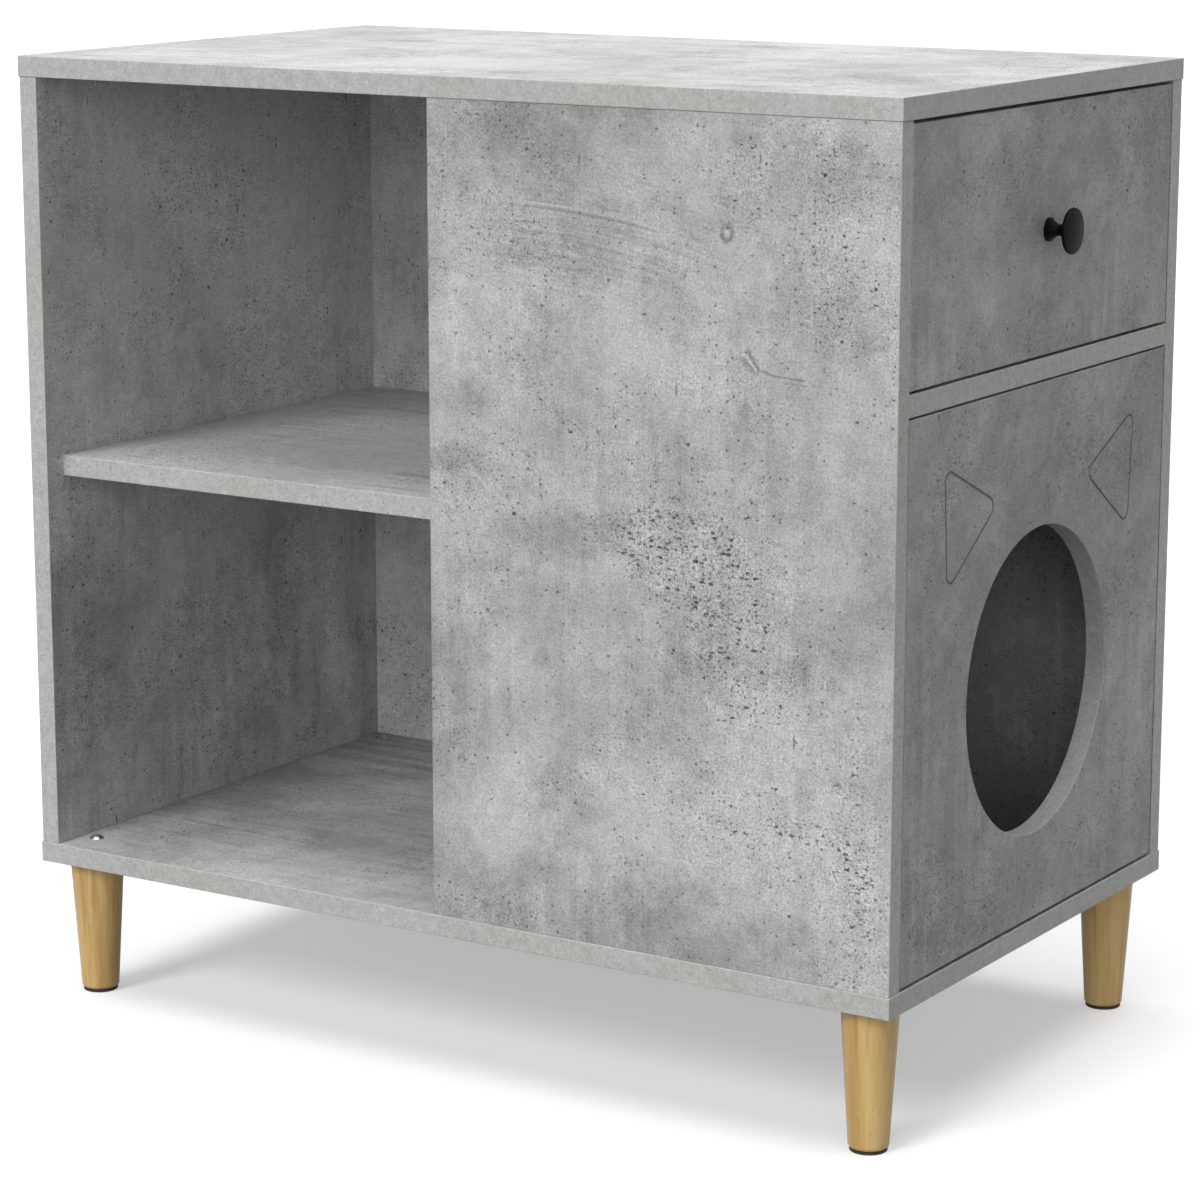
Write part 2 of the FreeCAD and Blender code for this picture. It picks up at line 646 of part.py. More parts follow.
def fit_roller(pieces, owner, hand, side, x, z):
    """A roller on an axle that stands on its runner's web, between a collar and an end disc."""
    wall = Vector(x, side * inner_front, z)
    away = Y * -side                                     # from the cabinet wall to the drawer
    near = roller_from_wall
    far = roller_from_wall + roller_width
    wheel = rod(wall + away * near, away, roller_width, 2 * roller_radius)
    pieces[owner + "_roller_" + hand] = wheel.cut(
        rod(wall + away * near, away, roller_width, axle_diameter + 2 * axle_running_fit))
    if owner == "cabinet":
        root, root_side, tip = runner_steel, near - roller_side_gap, far + roller_side_gap
        tip_end = tip + axle_end_thickness
    else:
        root, root_side, tip = runner_space - runner_steel, far + roller_side_gap, near - roller_side_gap
        tip_end = tip - axle_end_thickness

    def stretch(start, end, diameter):
        low, high = min(start, end), max(start, end)
        return rod(wall + away * low, away, high - low, diameter)

    fasten(owner + "_roller_axles", joined([
        stretch(root, root_side, axle_collar_diameter),
        stretch(root, tip_end, axle_diameter),
        stretch(tip, tip_end, axle_end_diameter),
    ]))


def main():
    os.makedirs("parts", exist_ok=True)
    nodes = make_carcase_boards()
    fasten_carcase()
    nodes.update(make_legs())
    nodes["entrance_door"] = make_door()
    fit_pivots()
    nodes.update(make_catch())
    nodes.update(make_drawer())
    fasten_drawer()
    nodes.update(make_knob())
    nodes.update(make_runners())
    for name, cutters in bores.items():
        nodes[name] = nodes[name].cut(cutters)
    for name, solids in fasteners.items():
        nodes[name] = Part.makeCompound(solids)
    for name, shape in nodes.items():
        if not shape.isValid():
            raise ValueError(name + " is not a valid solid")
        placed = shape.copy()
        placed.translate(frame_shift)
        placed.exportStep("parts/" + name + ".step")
        size = placed.BoundBox
        print("%-24s %2d solids  x %.1f..%.1f  y %.1f..%.1f  z %.1f..%.1f" % (
            name, len(shape.Solids), size.XMin, size.XMax, size.YMin, size.YMax, size.ZMin, size.ZMax))


main()
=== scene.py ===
import math

import bmesh
import bpy
from bpy.props import FloatProperty, FloatVectorProperty, PointerProperty
from mathutils import Matrix, Vector


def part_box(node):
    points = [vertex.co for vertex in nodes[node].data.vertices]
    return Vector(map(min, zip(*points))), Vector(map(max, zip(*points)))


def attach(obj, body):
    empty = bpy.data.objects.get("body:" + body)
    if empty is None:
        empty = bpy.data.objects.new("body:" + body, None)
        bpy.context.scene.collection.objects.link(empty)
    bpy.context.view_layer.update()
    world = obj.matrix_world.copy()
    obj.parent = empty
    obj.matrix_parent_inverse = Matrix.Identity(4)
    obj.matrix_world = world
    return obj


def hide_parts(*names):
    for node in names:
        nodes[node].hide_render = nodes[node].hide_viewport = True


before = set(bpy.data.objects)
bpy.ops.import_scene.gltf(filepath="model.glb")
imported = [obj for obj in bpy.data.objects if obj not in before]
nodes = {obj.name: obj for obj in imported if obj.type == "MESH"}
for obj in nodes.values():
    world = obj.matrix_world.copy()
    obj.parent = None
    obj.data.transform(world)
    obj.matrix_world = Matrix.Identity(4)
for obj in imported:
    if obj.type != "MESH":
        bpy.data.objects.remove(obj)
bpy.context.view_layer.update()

# Finishes a cat house: printed boards with edge banding, turned legs, fittings and a white studio.
# Metres, +Z up. The open shelves face -Y, the drawer and the entrance face +X.

bl_info = {
    "name": "Cat House",
    "version": (1, 0, 0),
    "blender": (4, 5, 0),
    "location": "View3D > Sidebar > Cat House",
    "description": "Boards, legs, fittings and studio of a cat house",
    "category": "Object",
}

# Patches of the front panel's print: place across and up, half width and half height, then how much
# paler they are and how much fuller of pores.
front_patches = (
    (0.190, 0.402, 0.080, 0.030, 0.00, 1.50),
    (0.228, 0.365, 0.060, 0.045, 0.03, 1.00),
    (0.322, 0.225, 0.020, 0.090, 0.00, 0.90),
    (0.270, 0.640, 0.075, 0.050, -0.06, 0.40),
    (0.300, 0.560, 0.050, 0.050, -0.06, 0.30),
    (0.120, 0.595, 0.110, 0.055, -0.02, 0.30),
    (0.035, 0.535, 0.050, 0.060, 0.07, -0.30),
    (0.150, 0.525, 0.075, 0.035, 0.06, 0.00),
    (0.250, 0.275, 0.045, 0.060, 0.08, -0.20),
    (0.050, 0.200, 0.055, 0.050, 0.06, 0.00),
    (0.060, 0.662, 0.065, 0.022, -0.05, -0.20),
    (0.092, 0.397, 0.055, 0.022, -0.08, 0.10),
    (0.020, 0.485, 0.028, 0.020, -0.05, 0.00),
    (0.160, 0.280, 0.050, 0.035, -0.04, 0.10),
    (0.150, 0.158, 0.045, 0.040, -0.03, 0.40),
    (0.200, 0.200, 0.150, 0.065, 0.09, 0.00),
    (0.010, 0.442, 0.034, 0.012, -0.06, 0.30),
    (0.325, 0.480, 0.024, 0.090, -0.04, -0.50),
    (0.225, 0.280, 0.130, 0.130, 0.00, 0.35),
    (0.030, 0.312, 0.045, 0.040, 0.06, 0.00),
    (0.250, 0.235, 0.060, 0.090, 0.00, 0.50),
)
sweep_centre = (0.053, 0.0, 0.0175)      # a trowel's fine lines run round it
sweep_place = (0.125, 0.0, 0.600)        # middle of where they show
sweep_reach = (0.120, 0.055)             # and how far from it, across and up
sweep_fineness = 360.0
ridge_radius = 0.6000                    # the trowel left one ridge this far from the centre
ridge_reach = (0.050, 0.090, 0.150, 0.205)    # where it starts, is whole, fades and ends, across
ridge_width = 0.0013                     # of its lit side, and of its shaded side
ring_mark = (0.2216, 0.0, 0.6075)        # a dark ring in the print
ring_radius = 0.0038
ring_stretch = 1.3                       # how much taller the ring is than wide
# Dark strokes of a hooked mark: both ends, half width and depth. A pale line runs between the first two.
hook_strokes = (
    ((0.2375, 0.0, 0.5330), (0.2450, 0.0, 0.5215), 0.0028, 0.66),
    ((0.2345, 0.0, 0.5270), (0.2425, 0.0, 0.5195), 0.0034, 0.56),
    ((0.2450, 0.0, 0.5215), (0.2570, 0.0, 0.5180), 0.0014, 0.55),
    ((0.2570, 0.0, 0.5180), (0.2800, 0.0, 0.5165), 0.0012, 0.52),
    ((0.2640, 0.0, 0.5138), (0.2810, 0.0, 0.5132), 0.0011, 0.40),
)
hook_core = ((0.2358, 0.0, 0.5302), (0.2442, 0.0, 0.5202))

hole_height = 0.169                      # middle of the door's hole above the door's lower edge
hole_clear = 0.120                       # the hole lies within this distance from it, and the ears outside
ear_limit = (0.152, 0.175)               # and inside these, sideways and above it
ear_corners = ((0.1375, 0.0, 0.1585), (0.0810, 0.0, 0.1330), (0.1335, 0.0, 0.0975))
ear_rounding = 0.0065                    # the ears' grooves run at this distance round the corners above
groove_depths = (0.00008, 0.0011)        # and lie between these depths under the face
# Painted shade: all of the door's banding is darkened, standing for the shade on the wall of its hole.
painted_hole_wall_shade = 0.78                   # the banding of the door is this much darker

print_per_depth = (37.0, 23.0)           # how far the print moves across and along for each metre of depth
leg_step = (0.31, 0.17, 0.43)            # how far each leg's wood is from the wood of the leg before
slot_places = (0.09, 0.30, 0.60, 0.86)   # where the channels' slots begin, in shares of their length
weld = 1e-6                              # points that are as near as this are one
crease = math.radians(40)                # an edge that is sharper than this stays sharp

AXIS_X = Vector((1, 0, 0))
AXIS_Y = Vector((0, 1, 0))
AXIS_Z = Vector((0, 0, 1))


def display(red, green, blue):
    """Linear colour from a display's 0 to 255 values."""
    shares = [value / 255 for value in (red, green, blue)]
    return tuple(s / 12.92 if s <= 0.04045 else ((s + 0.055) / 1.055) ** 2.4 for s in shares)


def colour(name, description, default):
    return FloatVectorProperty(
        name=name, description=description, default=default, subtype="COLOR", size=3, min=0.0, max=1.0)


def length(name, description, default):
    return FloatProperty(name=name, description=description, default=default, unit="LENGTH", min=0.0)


def strength(name, description, default):
    return FloatProperty(name=name, description=description, default=default, min=0.0)


class PrintedBoardSettings(bpy.types.PropertyGroup):
    dark: colour("Dark cloud", "Darkest clouds of the print", display(143, 143, 143))
    middle: colour("Ground", "Most of the print", display(173, 173, 173))
    pale: colour("Pale cloud", "Smooth pale patches of the print", display(199, 199, 199))
    warm: colour("Warm stain", "Faint warm stains", display(180, 177, 166))
    pore: colour("Pore", "Bottom of the printed pores", display(62, 62, 63))
    band: colour("Band", "Ground of the edge banding", display(188, 188, 187))
    band_warm: colour("Warm band", "Warmer lengths of the edge banding", display(184, 184, 180))
    cloud: length("Cloud size", "Across one cloud of the print", 0.20)
    pore_spacing: length("Pore spacing", "Between neighbouring small pores", 0.0036)
    hole_spacing: length("Hole spacing", "Between neighbouring large pores", 0.0085)
    tone: strength("Tone", "Added to the tone of the whole print", 0.0525)
    clouds: strength("Clouds", "How far large clouds change the tone", 0.37)
    blotches: strength("Blotches", "How far small clouds change the tone", 0.275)
    wash: strength("Wash", "How far the tone drifts across a board", 0.25)
    grain: strength("Grain", "How far fine grain changes the tone", 1.25)
    mottle: strength("Mottle", "How far coarse grain changes the tone", 0.68)
    worms: strength("Worms", "How dark the short winding lines are", 0.19)
    weave: strength("Weave", "How far fine crossed lines change the tone", 0.15)


class LegSettings(bpy.types.PropertyGroup):
    honey: colour("Honey", "Most of the wood", display(210, 175, 111))
    straw: colour("Straw", "Palest bands of the wood", display(222, 190, 130))
    amber: colour("Amber", "Darkest bands of the wood", display(188, 146, 86))
    vein: colour("Vein", "Thin reddish lines along the wood", display(186, 132, 78))
    fleck: colour("Fleck", "Short pores in the wood", display(138, 100, 58))


class FittingSettings(bpy.types.PropertyGroup):
    knob: colour("Knob", "Satin paint of the knob", display(15, 15, 15))
    zinc: colour("Zinc", "Plated screws, bolts and cams", display(196, 197, 198))
    dowel: colour("Dowel", "Beech dowels", display(206, 172, 132))
    catch: colour("Catch", "Moulded housing of the catch", display(150, 150, 148))
    magnet: colour("Magnet", "Magnet of the catch", display(66, 66, 68))
    pad: colour("Pad", "Rubber under the legs", display(26, 26, 26))
    screw_head: length("Screw head", "Height of the small screws' heads", 0.0014)
    screw_shank: length("Screw shank", "Diameter of the small screws", 0.0035)
    knob_screw_head: length("Knob screw head", "Height of the knob screw's head", 0.0024)
    knob_screw_shank: length("Knob screw shank", "Diameter of the knob screw", 0.0040)


class RunnerSettings(bpy.types.PropertyGroup):
    paint: colour("Powder coat", "Paint of the runners", display(222, 222, 218))
    nylon: colour("Nylon", "Rollers", display(226, 225, 218))
    bush: colour("Bush", "Pivot bushes of the door", display(38, 38, 39))
    steel: length("Steel", "Thickness of the runners", 0.0012)
    bend: length("Bend", "Radius of the runners' bends", 0.0016)
    rail_web: length("Rail web", "Upright of the rail behind the edge of its track", 0.0083)
    slot_length: length("Slot length", "Between the centres of a slot's round ends", 0.0080)
    slot_height: length("Slot height", "Across the slots of the channels", 0.0046)
    roller_bore: length("Roller bore", "Bore of the rollers", 0.0041)
    roller_hub: length("Roller hub", "Diameter of the rollers' hubs", 0.0084)
    roller_rim: length("Roller rim", "Thickness of the rollers' rims", 0.0027)
    roller_dish: length("Roller dish", "Hollow in the rollers' sides", 0.0012)


class HardboardSettings(bpy.types.PropertyGroup):
    dark: colour("Dark fibre", "Darkest fibre of the bare side", display(112, 80, 52))
    pale: colour("Pale fibre", "Palest fibre of the bare side", display(158, 121, 84))
    screen: length("Screen", "Between the marks that the pressing screen leaves in the bare side", 0.0018)


class StageSettings(bpy.types.PropertyGroup):
    camera_place: FloatVectorProperty(
        name="Camera", description="Where the camera stands", default=(1.45990, -2.32106, 0.88591),
        subtype="TRANSLATION", unit="LENGTH", size=3)
    camera_turn: FloatProperty(
        name="Turn", description="Camera turned left from +Y", default=math.radians(32.313), subtype="ANGLE")
    camera_dip: FloatProperty(
        name="Dip", description="Camera below the horizon", default=math.radians(11.970), subtype="ANGLE")
    lens: FloatProperty(name="Lens", description="Focal length in millimetres", default=114.884)
    key: strength("Key light", "Sun from the front left", 1.50)
    overhead: strength("Overhead light", "Wide soft sun from above", 2.65)
    fill: strength("Fill light", "Wide soft sun from the front right", 1.40)
    ambient: strength("Ambient light", "Even light from all round", 0.16)


class CatHouseSettings(bpy.types.PropertyGroup):
    board: PointerProperty(type=PrintedBoardSettings)
    leg: PointerProperty(type=LegSettings)
    fitting: PointerProperty(type=FittingSettings)
    runner: PointerProperty(type=RunnerSettings)
    hardboard: PointerProperty(type=HardboardSettings)
    stage: PointerProperty(type=StageSettings)


class Shading:
    """Adds nodes to a shader tree; each call gives the socket that later nodes take."""

    def __init__(self, tree):
        self.tree = tree

    def node(self, kind, inputs=(), **settings):
        made = self.tree.nodes.new(kind)
        for key, value in settings.items():
            setattr(made, key, value)
        for key, value in dict(inputs).items():
            self.put(made.inputs[key], value)
        return made

    def put(self, socket, value):
        if isinstance(value, bpy.types.NodeSocket):
            self.tree.links.new(value, socket)
        elif socket.type == "RGBA" and len(value) == 3:
            socket.default_value = (*value, 1.0)
        else:
            socket.default_value = value

    def math(self, operation, first, second=0.0):
        return self.node("ShaderNodeMath", {0: first, 1: second}, operation=operation).outputs[0]

    def times(self, first, second):
        return self.math("MULTIPLY", first, second)

    def plus(self, first, second):
        return self.math("ADD", first, second)

    def vector(self, operation, first, second=(0.0, 0.0, 0.0)):
        made = self.node("ShaderNodeVectorMath", {0: first, 1: second}, operation=operation)
        return made.outputs["Value" if operation in ("DOT_PRODUCT", "LENGTH") else "Vector"]

    def axes(self, vector):
        return self.node("ShaderNodeSeparateXYZ", {0: vector}).outputs

    def fade(self, value, low, high, start=0.0, end=1.0):
        """Runs smoothly from start to end while value runs from low to high."""
        inputs = {"Value": value, "From Min": low, "From Max": high, "To Min": start, "To Max": end}
        return self.node("ShaderNodeMapRange", inputs, interpolation_type="SMOOTHSTEP").outputs["Result"]

    def stripe(self, value, middle, half_width, depth=1.0):
        """A soft stripe where a value is near its middle."""
        off = self.math("ABSOLUTE", self.plus(value, -middle))
        return self.fade(off, 0.0, half_width, depth, 0.0)

    def placed(self, vector, scale=(1.0, 1.0, 1.0), location=(0.0, 0.0, 0.0), rotation=(0.0, 0.0, 0.0)):
        inputs = {"Vector": vector, "Location": location, "Rotation": rotation, "Scale": scale}
        return self.node("ShaderNodeMapping", inputs).outputs["Vector"]

    def noise(self, vector, scale, detail=2.0, roughness=0.5, distortion=0.0, flat=False):
        inputs = {"Vector": vector, "Scale": scale, "Detail": detail, "Roughness": roughness,
                  "Distortion": distortion}
        made = self.node("ShaderNodeTexNoise", inputs, noise_dimensions="2D" if flat else "3D")
        return made.outputs["Fac"]

    def cells(self, vector, scale, flat=False):
        """Distance to the nearest of many scattered points, and two random values of that point."""
        made = self.node("ShaderNodeTexVoronoi", {"Vector": vector, "Scale": scale},
                         voronoi_dimensions="2D" if flat else "3D")
        parts = self.node("ShaderNodeSeparateColor", {0: made.outputs["Color"]})
        return made.outputs["Distance"], parts.outputs[0], parts.outputs[1]

    def pores(self, vector, scale, share, least, most, flat=False):
        """Round spots at a share of the scattered points, each of its own radius in cell widths."""
        distance, chance, size = self.cells(vector, scale, flat)
        radius = self.plus(self.times(size, most - least), least)
        chosen = self.math("LESS_THAN", chance, share)
        edge = self.math("DIVIDE", distance, radius)
        depth = self.plus(self.times(size, 0.5), 0.5)
        return self.times(self.times(self.fade(edge, 0.5, 1.0, 1.0, 0.0), chosen), depth)

    def mix(self, factor, first, second, blend="MIX"):
        inputs = {0: factor, 6: first, 7: second}
        return self.node("ShaderNodeMix", inputs, data_type="RGBA", blend_type=blend).outputs[2]

    def ramp(self, factor, stops):
        made = self.node("ShaderNodeValToRGB", {0: factor})
        elements = made.color_ramp.elements
        while len(elements) < len(stops):
            elements.new(0.5)
        for element, (place, shade) in zip(elements, stops):
            element.position = place
            element.color = (*shade, 1.0)
        return made.outputs["Color"]

    def grey(self, value):
        return self.node("ShaderNodeCombineColor", {0: value, 1: value, 2: value}).outputs[0]

    def from_point(self, vector, point, scale=(1.0, 1.0)):
        """Way from a point in the plane of X and Z, scaled along both."""
        way = self.vector("SUBTRACT", vector, point)
        return self.vector("MULTIPLY", way, (scale[0], 0.0, scale[1]))

    def off_line(self, vector, start, end):
        """Distance from a straight line between two points, in the plane of X and Z."""
        run = Vector(end) - Vector(start)
        own = self.from_point(vector, start)
        share = self.times(self.vector("DOT_PRODUCT", own, run), 1.0 / run.length_squared)
        share = self.math("MINIMUM", self.math("MAXIMUM", share, 0.0), 1.0)
        along = self.node("ShaderNodeVectorMath", {0: run, "Scale": share}, operation="SCALE")
        return self.vector("LENGTH", self.vector("SUBTRACT", own, along.outputs["Vector"]))

    def swept(self, vector, centre, fineness):
        """Fine lines round a centre, in the plane of X and Z."""
        own = self.from_point(vector, centre)
        sideways = self.axes(own)[0]
        out = self.times(self.vector("LENGTH", own), fineness)
        bent = self.node("ShaderNodeCombineXYZ", {0: out, 1: self.times(sideways, fineness / 24)})
        return self.noise(bent.outputs[0], 1.0, 4.0, 0.6, 0.3, True)

    def oval(self, vector, centre, reach, wander, solid, end):
        """1 in an oval in the plane of X and Z, whose outline wanders, and 0 outside."""
        own = self.from_point(vector, centre, (1.0 / reach[0], 1.0 / reach[1]))
        return self.fade(self.plus(self.vector("LENGTH", own), wander), solid, end, 1.0, 0.0)

    def bump(self, height, strength, distance):
        inputs = {"Height": height, "Strength": strength, "Distance": distance}
        return self.node("ShaderNodeBump", inputs).outputs[0]


def new_material(name):
    """A material with its shading helper, its Principled shader and its object coordinates."""
    material = bpy.data.materials.new(name)
    material.use_nodes = True
    shading = Shading(material.node_tree)
    shader = material.node_tree.nodes["Principled BSDF"]
    place = shading.node("ShaderNodeTexCoord")
    return material, shading, shader, place


def new_group(name, inputs, outputs):
    """A shared node group, its shading helper and its end nodes."""
    tree = bpy.data.node_groups.new(name, "ShaderNodeTree")
    for way, sockets in (("INPUT", inputs), ("OUTPUT", outputs)):
        for label, kind in sockets.items():
            tree.interface.new_socket(label, in_out=way, socket_type="NodeSocket" + kind)
    s = Shading(tree)
    return tree, s, s.node("NodeGroupInput").outputs, s.node("NodeGroupOutput").inputs


def paint(names, material):
    for name in names:
        mesh = nodes[name].data
        mesh.materials.clear()
        mesh.materials.append(material)


def concrete_print(settings):
    """Decor print on a board's face. X runs across its grain, Y along it and Z through the board."""
    group, s, given, result = new_group(
        "Concrete print",
        {"Vector": "Vector", "Tone": "Float", "Pored": "Float", "Streaks": "Float"},
        {"Color": "Color", "Roughness": "Float", "Height": "Float"})
    # The two faces of a board take different parts of the print.
    axes = s.axes(given["Vector"])
    moved = {i: s.plus(axes[i], s.times(axes[2], print_per_depth[i])) for i in range(2)}
    flat = s.node("ShaderNodeCombineXYZ", moved).outputs[0]

    def shaken(scale, detail, roughness, reach):
        """The print's coordinates, each pushed aside a little."""
        inputs = {"Vector": flat, "Scale": scale, "Detail": detail, "Roughness": roughness}
        push = s.node("ShaderNodeTexNoise", inputs, noise_dimensions="2D").outputs["Color"]
        return s.vector("ADD", flat, s.vector("MULTIPLY", push, (*reach, 0.0)))

    def part(scale, detail, roughness, distortion=0.0, place=(0.0, 0.0), stretch=(1.0, 1.0), base=flat):
        """Noise over the print, at its own place in it."""
        own = s.placed(base, (*stretch, 1.0), (*place, 0.0))
        return s.noise(own, scale, detail, roughness, distortion, True)

    gritty = shaken(130.0, 3.0, 0.65, (0.020, 0.026))
    clouds = part(1.0 / settings.cloud, 7.0, 0.66, 0.5, base=gritty)
    blotches = part(4.0 / settings.cloud, 5.0, 0.70, 0.3, (3.1, 7.7), base=gritty)
    wash = part(0.35 / settings.cloud, 2.0, 0.5, 0.3, (9.4, 2.3))
    streaks = part(1.0, 4.0, 0.62, 0.3, stretch=(75.0, 5.5))
    streaked = s.fade(part(4.0, 2.0, 0.5, 0.4, (5.2, 1.9)), 0.40, 0.62)
    tone = s.plus(s.times(clouds, settings.clouds), s.times(blotches, settings.blotches))
    tone = s.plus(s.plus(tone, s.times(wash, settings.wash)), s.plus(given["Tone"], settings.tone))
    tone = s.plus(tone, s.times(s.times(s.plus(streaks, -0.5), streaked), given["Streaks"]))
    ground = s.ramp(s.fade(tone, 0.34, 0.66),
                    [(0.0, settings.dark), (0.48, settings.middle), (1.0, settings.pale)])
    stain = s.fade(part(16.0, 3.0, 0.6, 0.5, (1.7, 4.4)), 0.58, 0.75)
    ground = s.mix(s.times(stain, 0.20), ground, settings.warm)
    # Where the cast is open it is grainy and full of pores, and elsewhere it is smooth.
    open_cast = s.plus(s.fade(part(10.0, 4.0, 0.6, 0.6, (6.6, 3.5)), 0.44, 0.66), given["Pored"])
    open_cast = s.math("MAXIMUM", s.math("MINIMUM", open_cast, 2.0), 0.0)
    grainy = s.plus(s.times(open_cast, 0.50), 0.85)
    grain = s.times(s.plus(part(620.0, 3.0, 0.75), -0.5), settings.grain)
    mottle = s.times(s.plus(part(95.0, 6.0, 0.74, 0.8, (2.2, 8.1)), -0.5), settings.mottle)
    worms = s.times(s.fade(part(330.0, 2.0, 0.6, 1.8, (4.7, 0.6)), 0.55, 0.70), -settings.worms)
    weave = s.plus(part(1.0, 2.0, 0.5, stretch=(900.0, 38.0)), part(1.0, 2.0, 0.5, stretch=(38.0, 900.0)))
    weave = s.times(s.plus(weave, -1.0), settings.weave)
    texture = s.plus(s.times(s.plus(s.plus(grain, mottle), worms), grainy), weave)
    ground = s.mix(1.0, ground, s.grey(s.plus(texture, 1.01)), "MULTIPLY")
    # Small pores, large ones, a few slanted dashes, and tears where the pores crowd. Each row has a stretch
    # and a turn, how many fit in a metre, the share that shows, the least and the most radius and a depth.
    ragged = shaken(640.0, 2.0, 0.5, (0.0030, 0.0030))
    small = s.plus(s.times(open_cast, 0.38), 0.09)
    large = s.plus(s.times(s.times(open_cast, open_cast), 0.12), 0.012)
    torn = s.fade(open_cast, 1.1, 1.8, 0.0, 0.60)
    pitted = 0.0
    for stretch, turn, number, share, least, most, depth in (
            ((0.80, 1.00), 0.0, 1.0 / settings.pore_spacing, small, 0.08, 0.30, 0.75),
            ((0.75, 1.00), 0.0, 1.0 / settings.hole_spacing, large, 0.06, 0.18, 0.90),
            ((1.00, 0.16), 0.6, 0.45 / settings.hole_spacing, 0.10, 0.03, 0.06, 0.75),
            ((0.50, 1.00), 0.0, 1.05 / settings.pore_spacing, torn, 0.10, 0.42, 0.95)):
        own = s.placed(ragged, (*stretch, 1.0), rotation=(0.0, 0.0, turn))
        pores = s.pores(own, number, share, least, most, True)
        pitted = s.math("MAXIMUM", pitted, s.times(pores, depth))
    s.put(result["Color"], s.mix(pitted, ground, settings.pore))
    s.put(result["Roughness"], s.plus(s.plus(s.times(open_cast, 0.08), 0.52), s.times(pitted, 0.2)))
    s.put(result["Height"], part(620.0, 2.0, 0.75))
    return group


def banding_print(settings):
    """Edge banding: paler than the faces, finely speckled, and warmer on some lengths."""
    group, s, given, result = new_group("Edge banding", {"Vector": "Vector"}, {"Color": "Color"})
    lengths = s.fade(s.noise(given["Vector"], 7.0, 2.0, 0.5, 0.6), 0.40, 0.60)
    ground = s.mix(lengths, settings.band, settings.band_warm)
    grain = s.plus(s.times(s.plus(s.noise(given["Vector"], 560.0, 3.0, 0.7), -0.5), 0.85), 1.0)
    mottle = s.plus(s.times(s.plus(s.noise(given["Vector"], 150.0, 4.0, 0.7), -0.5), 0.60), 1.0)
    ground = s.mix(1.0, ground, s.grey(s.times(grain, mottle)), "MULTIPLY")
    dots = s.pores(given["Vector"], 300.0, 0.26, 0.10, 0.30)
    s.put(result["Color"], s.mix(s.times(dots, 0.55), ground, settings.pore))
    return group


def no_marks(s, place):
    """What a board's own marks and painted light add: to the tone of its print, to its pores, and a share of
    dark marks, which on the door is painted shade.
    """
    return 0.0, 0.0, 0.0


def front_marks(s, place):
    """The front panel's patches, the lines and the ridge of a trowel, a ring and a hooked mark."""
    wander = s.times(s.plus(s.noise(place, 38.0, 6.0, 0.75), -0.5), 2.2)
    tone = pored = 0.0
    for across, up, half_width, half_height, paler, fuller in front_patches:
        inside = s.oval(place, (across, 0.0, up), (half_width, half_height), wander, 0.35, 1.15)
        tone = s.plus(tone, s.times(inside, paler))
        pored = s.plus(pored, s.times(inside, fuller))
    inside = s.oval(place, sweep_place, sweep_reach, wander, 0.25, 1.2)
    lines = s.plus(s.swept(place, sweep_centre, sweep_fineness), -0.5)
    tone = s.plus(tone, s.times(s.times(lines, inside), 0.26))
    out = s.vector("LENGTH", s.from_point(place, sweep_centre))
    lit = s.stripe(out, ridge_radius + ridge_width, ridge_width)
    shaded = s.stripe(out, ridge_radius - ridge_width, ridge_width)
    across = s.axes(place)[0]
    whole = s.times(s.fade(across, *ridge_reach[:2]), s.fade(across, *ridge_reach[2:], 1.0, 0.0))
    tone = s.plus(tone, s.times(s.times(s.math("SUBTRACT", lit, shaded), whole), 0.08))
    ring = s.vector("LENGTH", s.from_point(place, ring_mark, (1.0, 1.0 / ring_stretch)))
    tone = s.plus(tone, s.fade(ring, 0.0, ring_radius * 0.6, 0.12, 0.0))
    mark = s.stripe(ring, ring_radius, ring_radius * 0.75, 0.62)
    for start, end, width, depth in hook_strokes:
        line = s.fade(s.off_line(place, start, end), 0.0, width, depth, 0.0)
        mark = s.math("MAXIMUM", mark, line)
    core = s.fade(s.off_line(place, *hook_core), 0.0003, 0.0011, 1.0, 0.0)
    tone = s.plus(tone, s.times(core, 0.10))
    mark = s.times(mark, s.plus(s.times(core, -0.9), 1.0))
    broken = s.fade(s.noise(place, 420.0, 3.0, 0.7), 0.35, 0.60, 0.45, 1.0)
    return tone, pored, s.times(mark, broken)


def back_painted_light_and_shade(s, place):
    """Painted light and shade on the back panel: paler where it is the back wall of the open shelves, and
    darker behind the chamber.
    """
    return s.fade(s.axes(place)[0], -0.10, 0.12, 0.05, -0.09), 0.0, 0.0


def left_painted_light_and_shade(s, place):
    """Painted light and shade on the left panel: darker towards the floor and paler higher up."""
    return s.fade(s.axes(place)[2], 0.20, 0.55, -0.06, 0.04), 0.0, 0.0


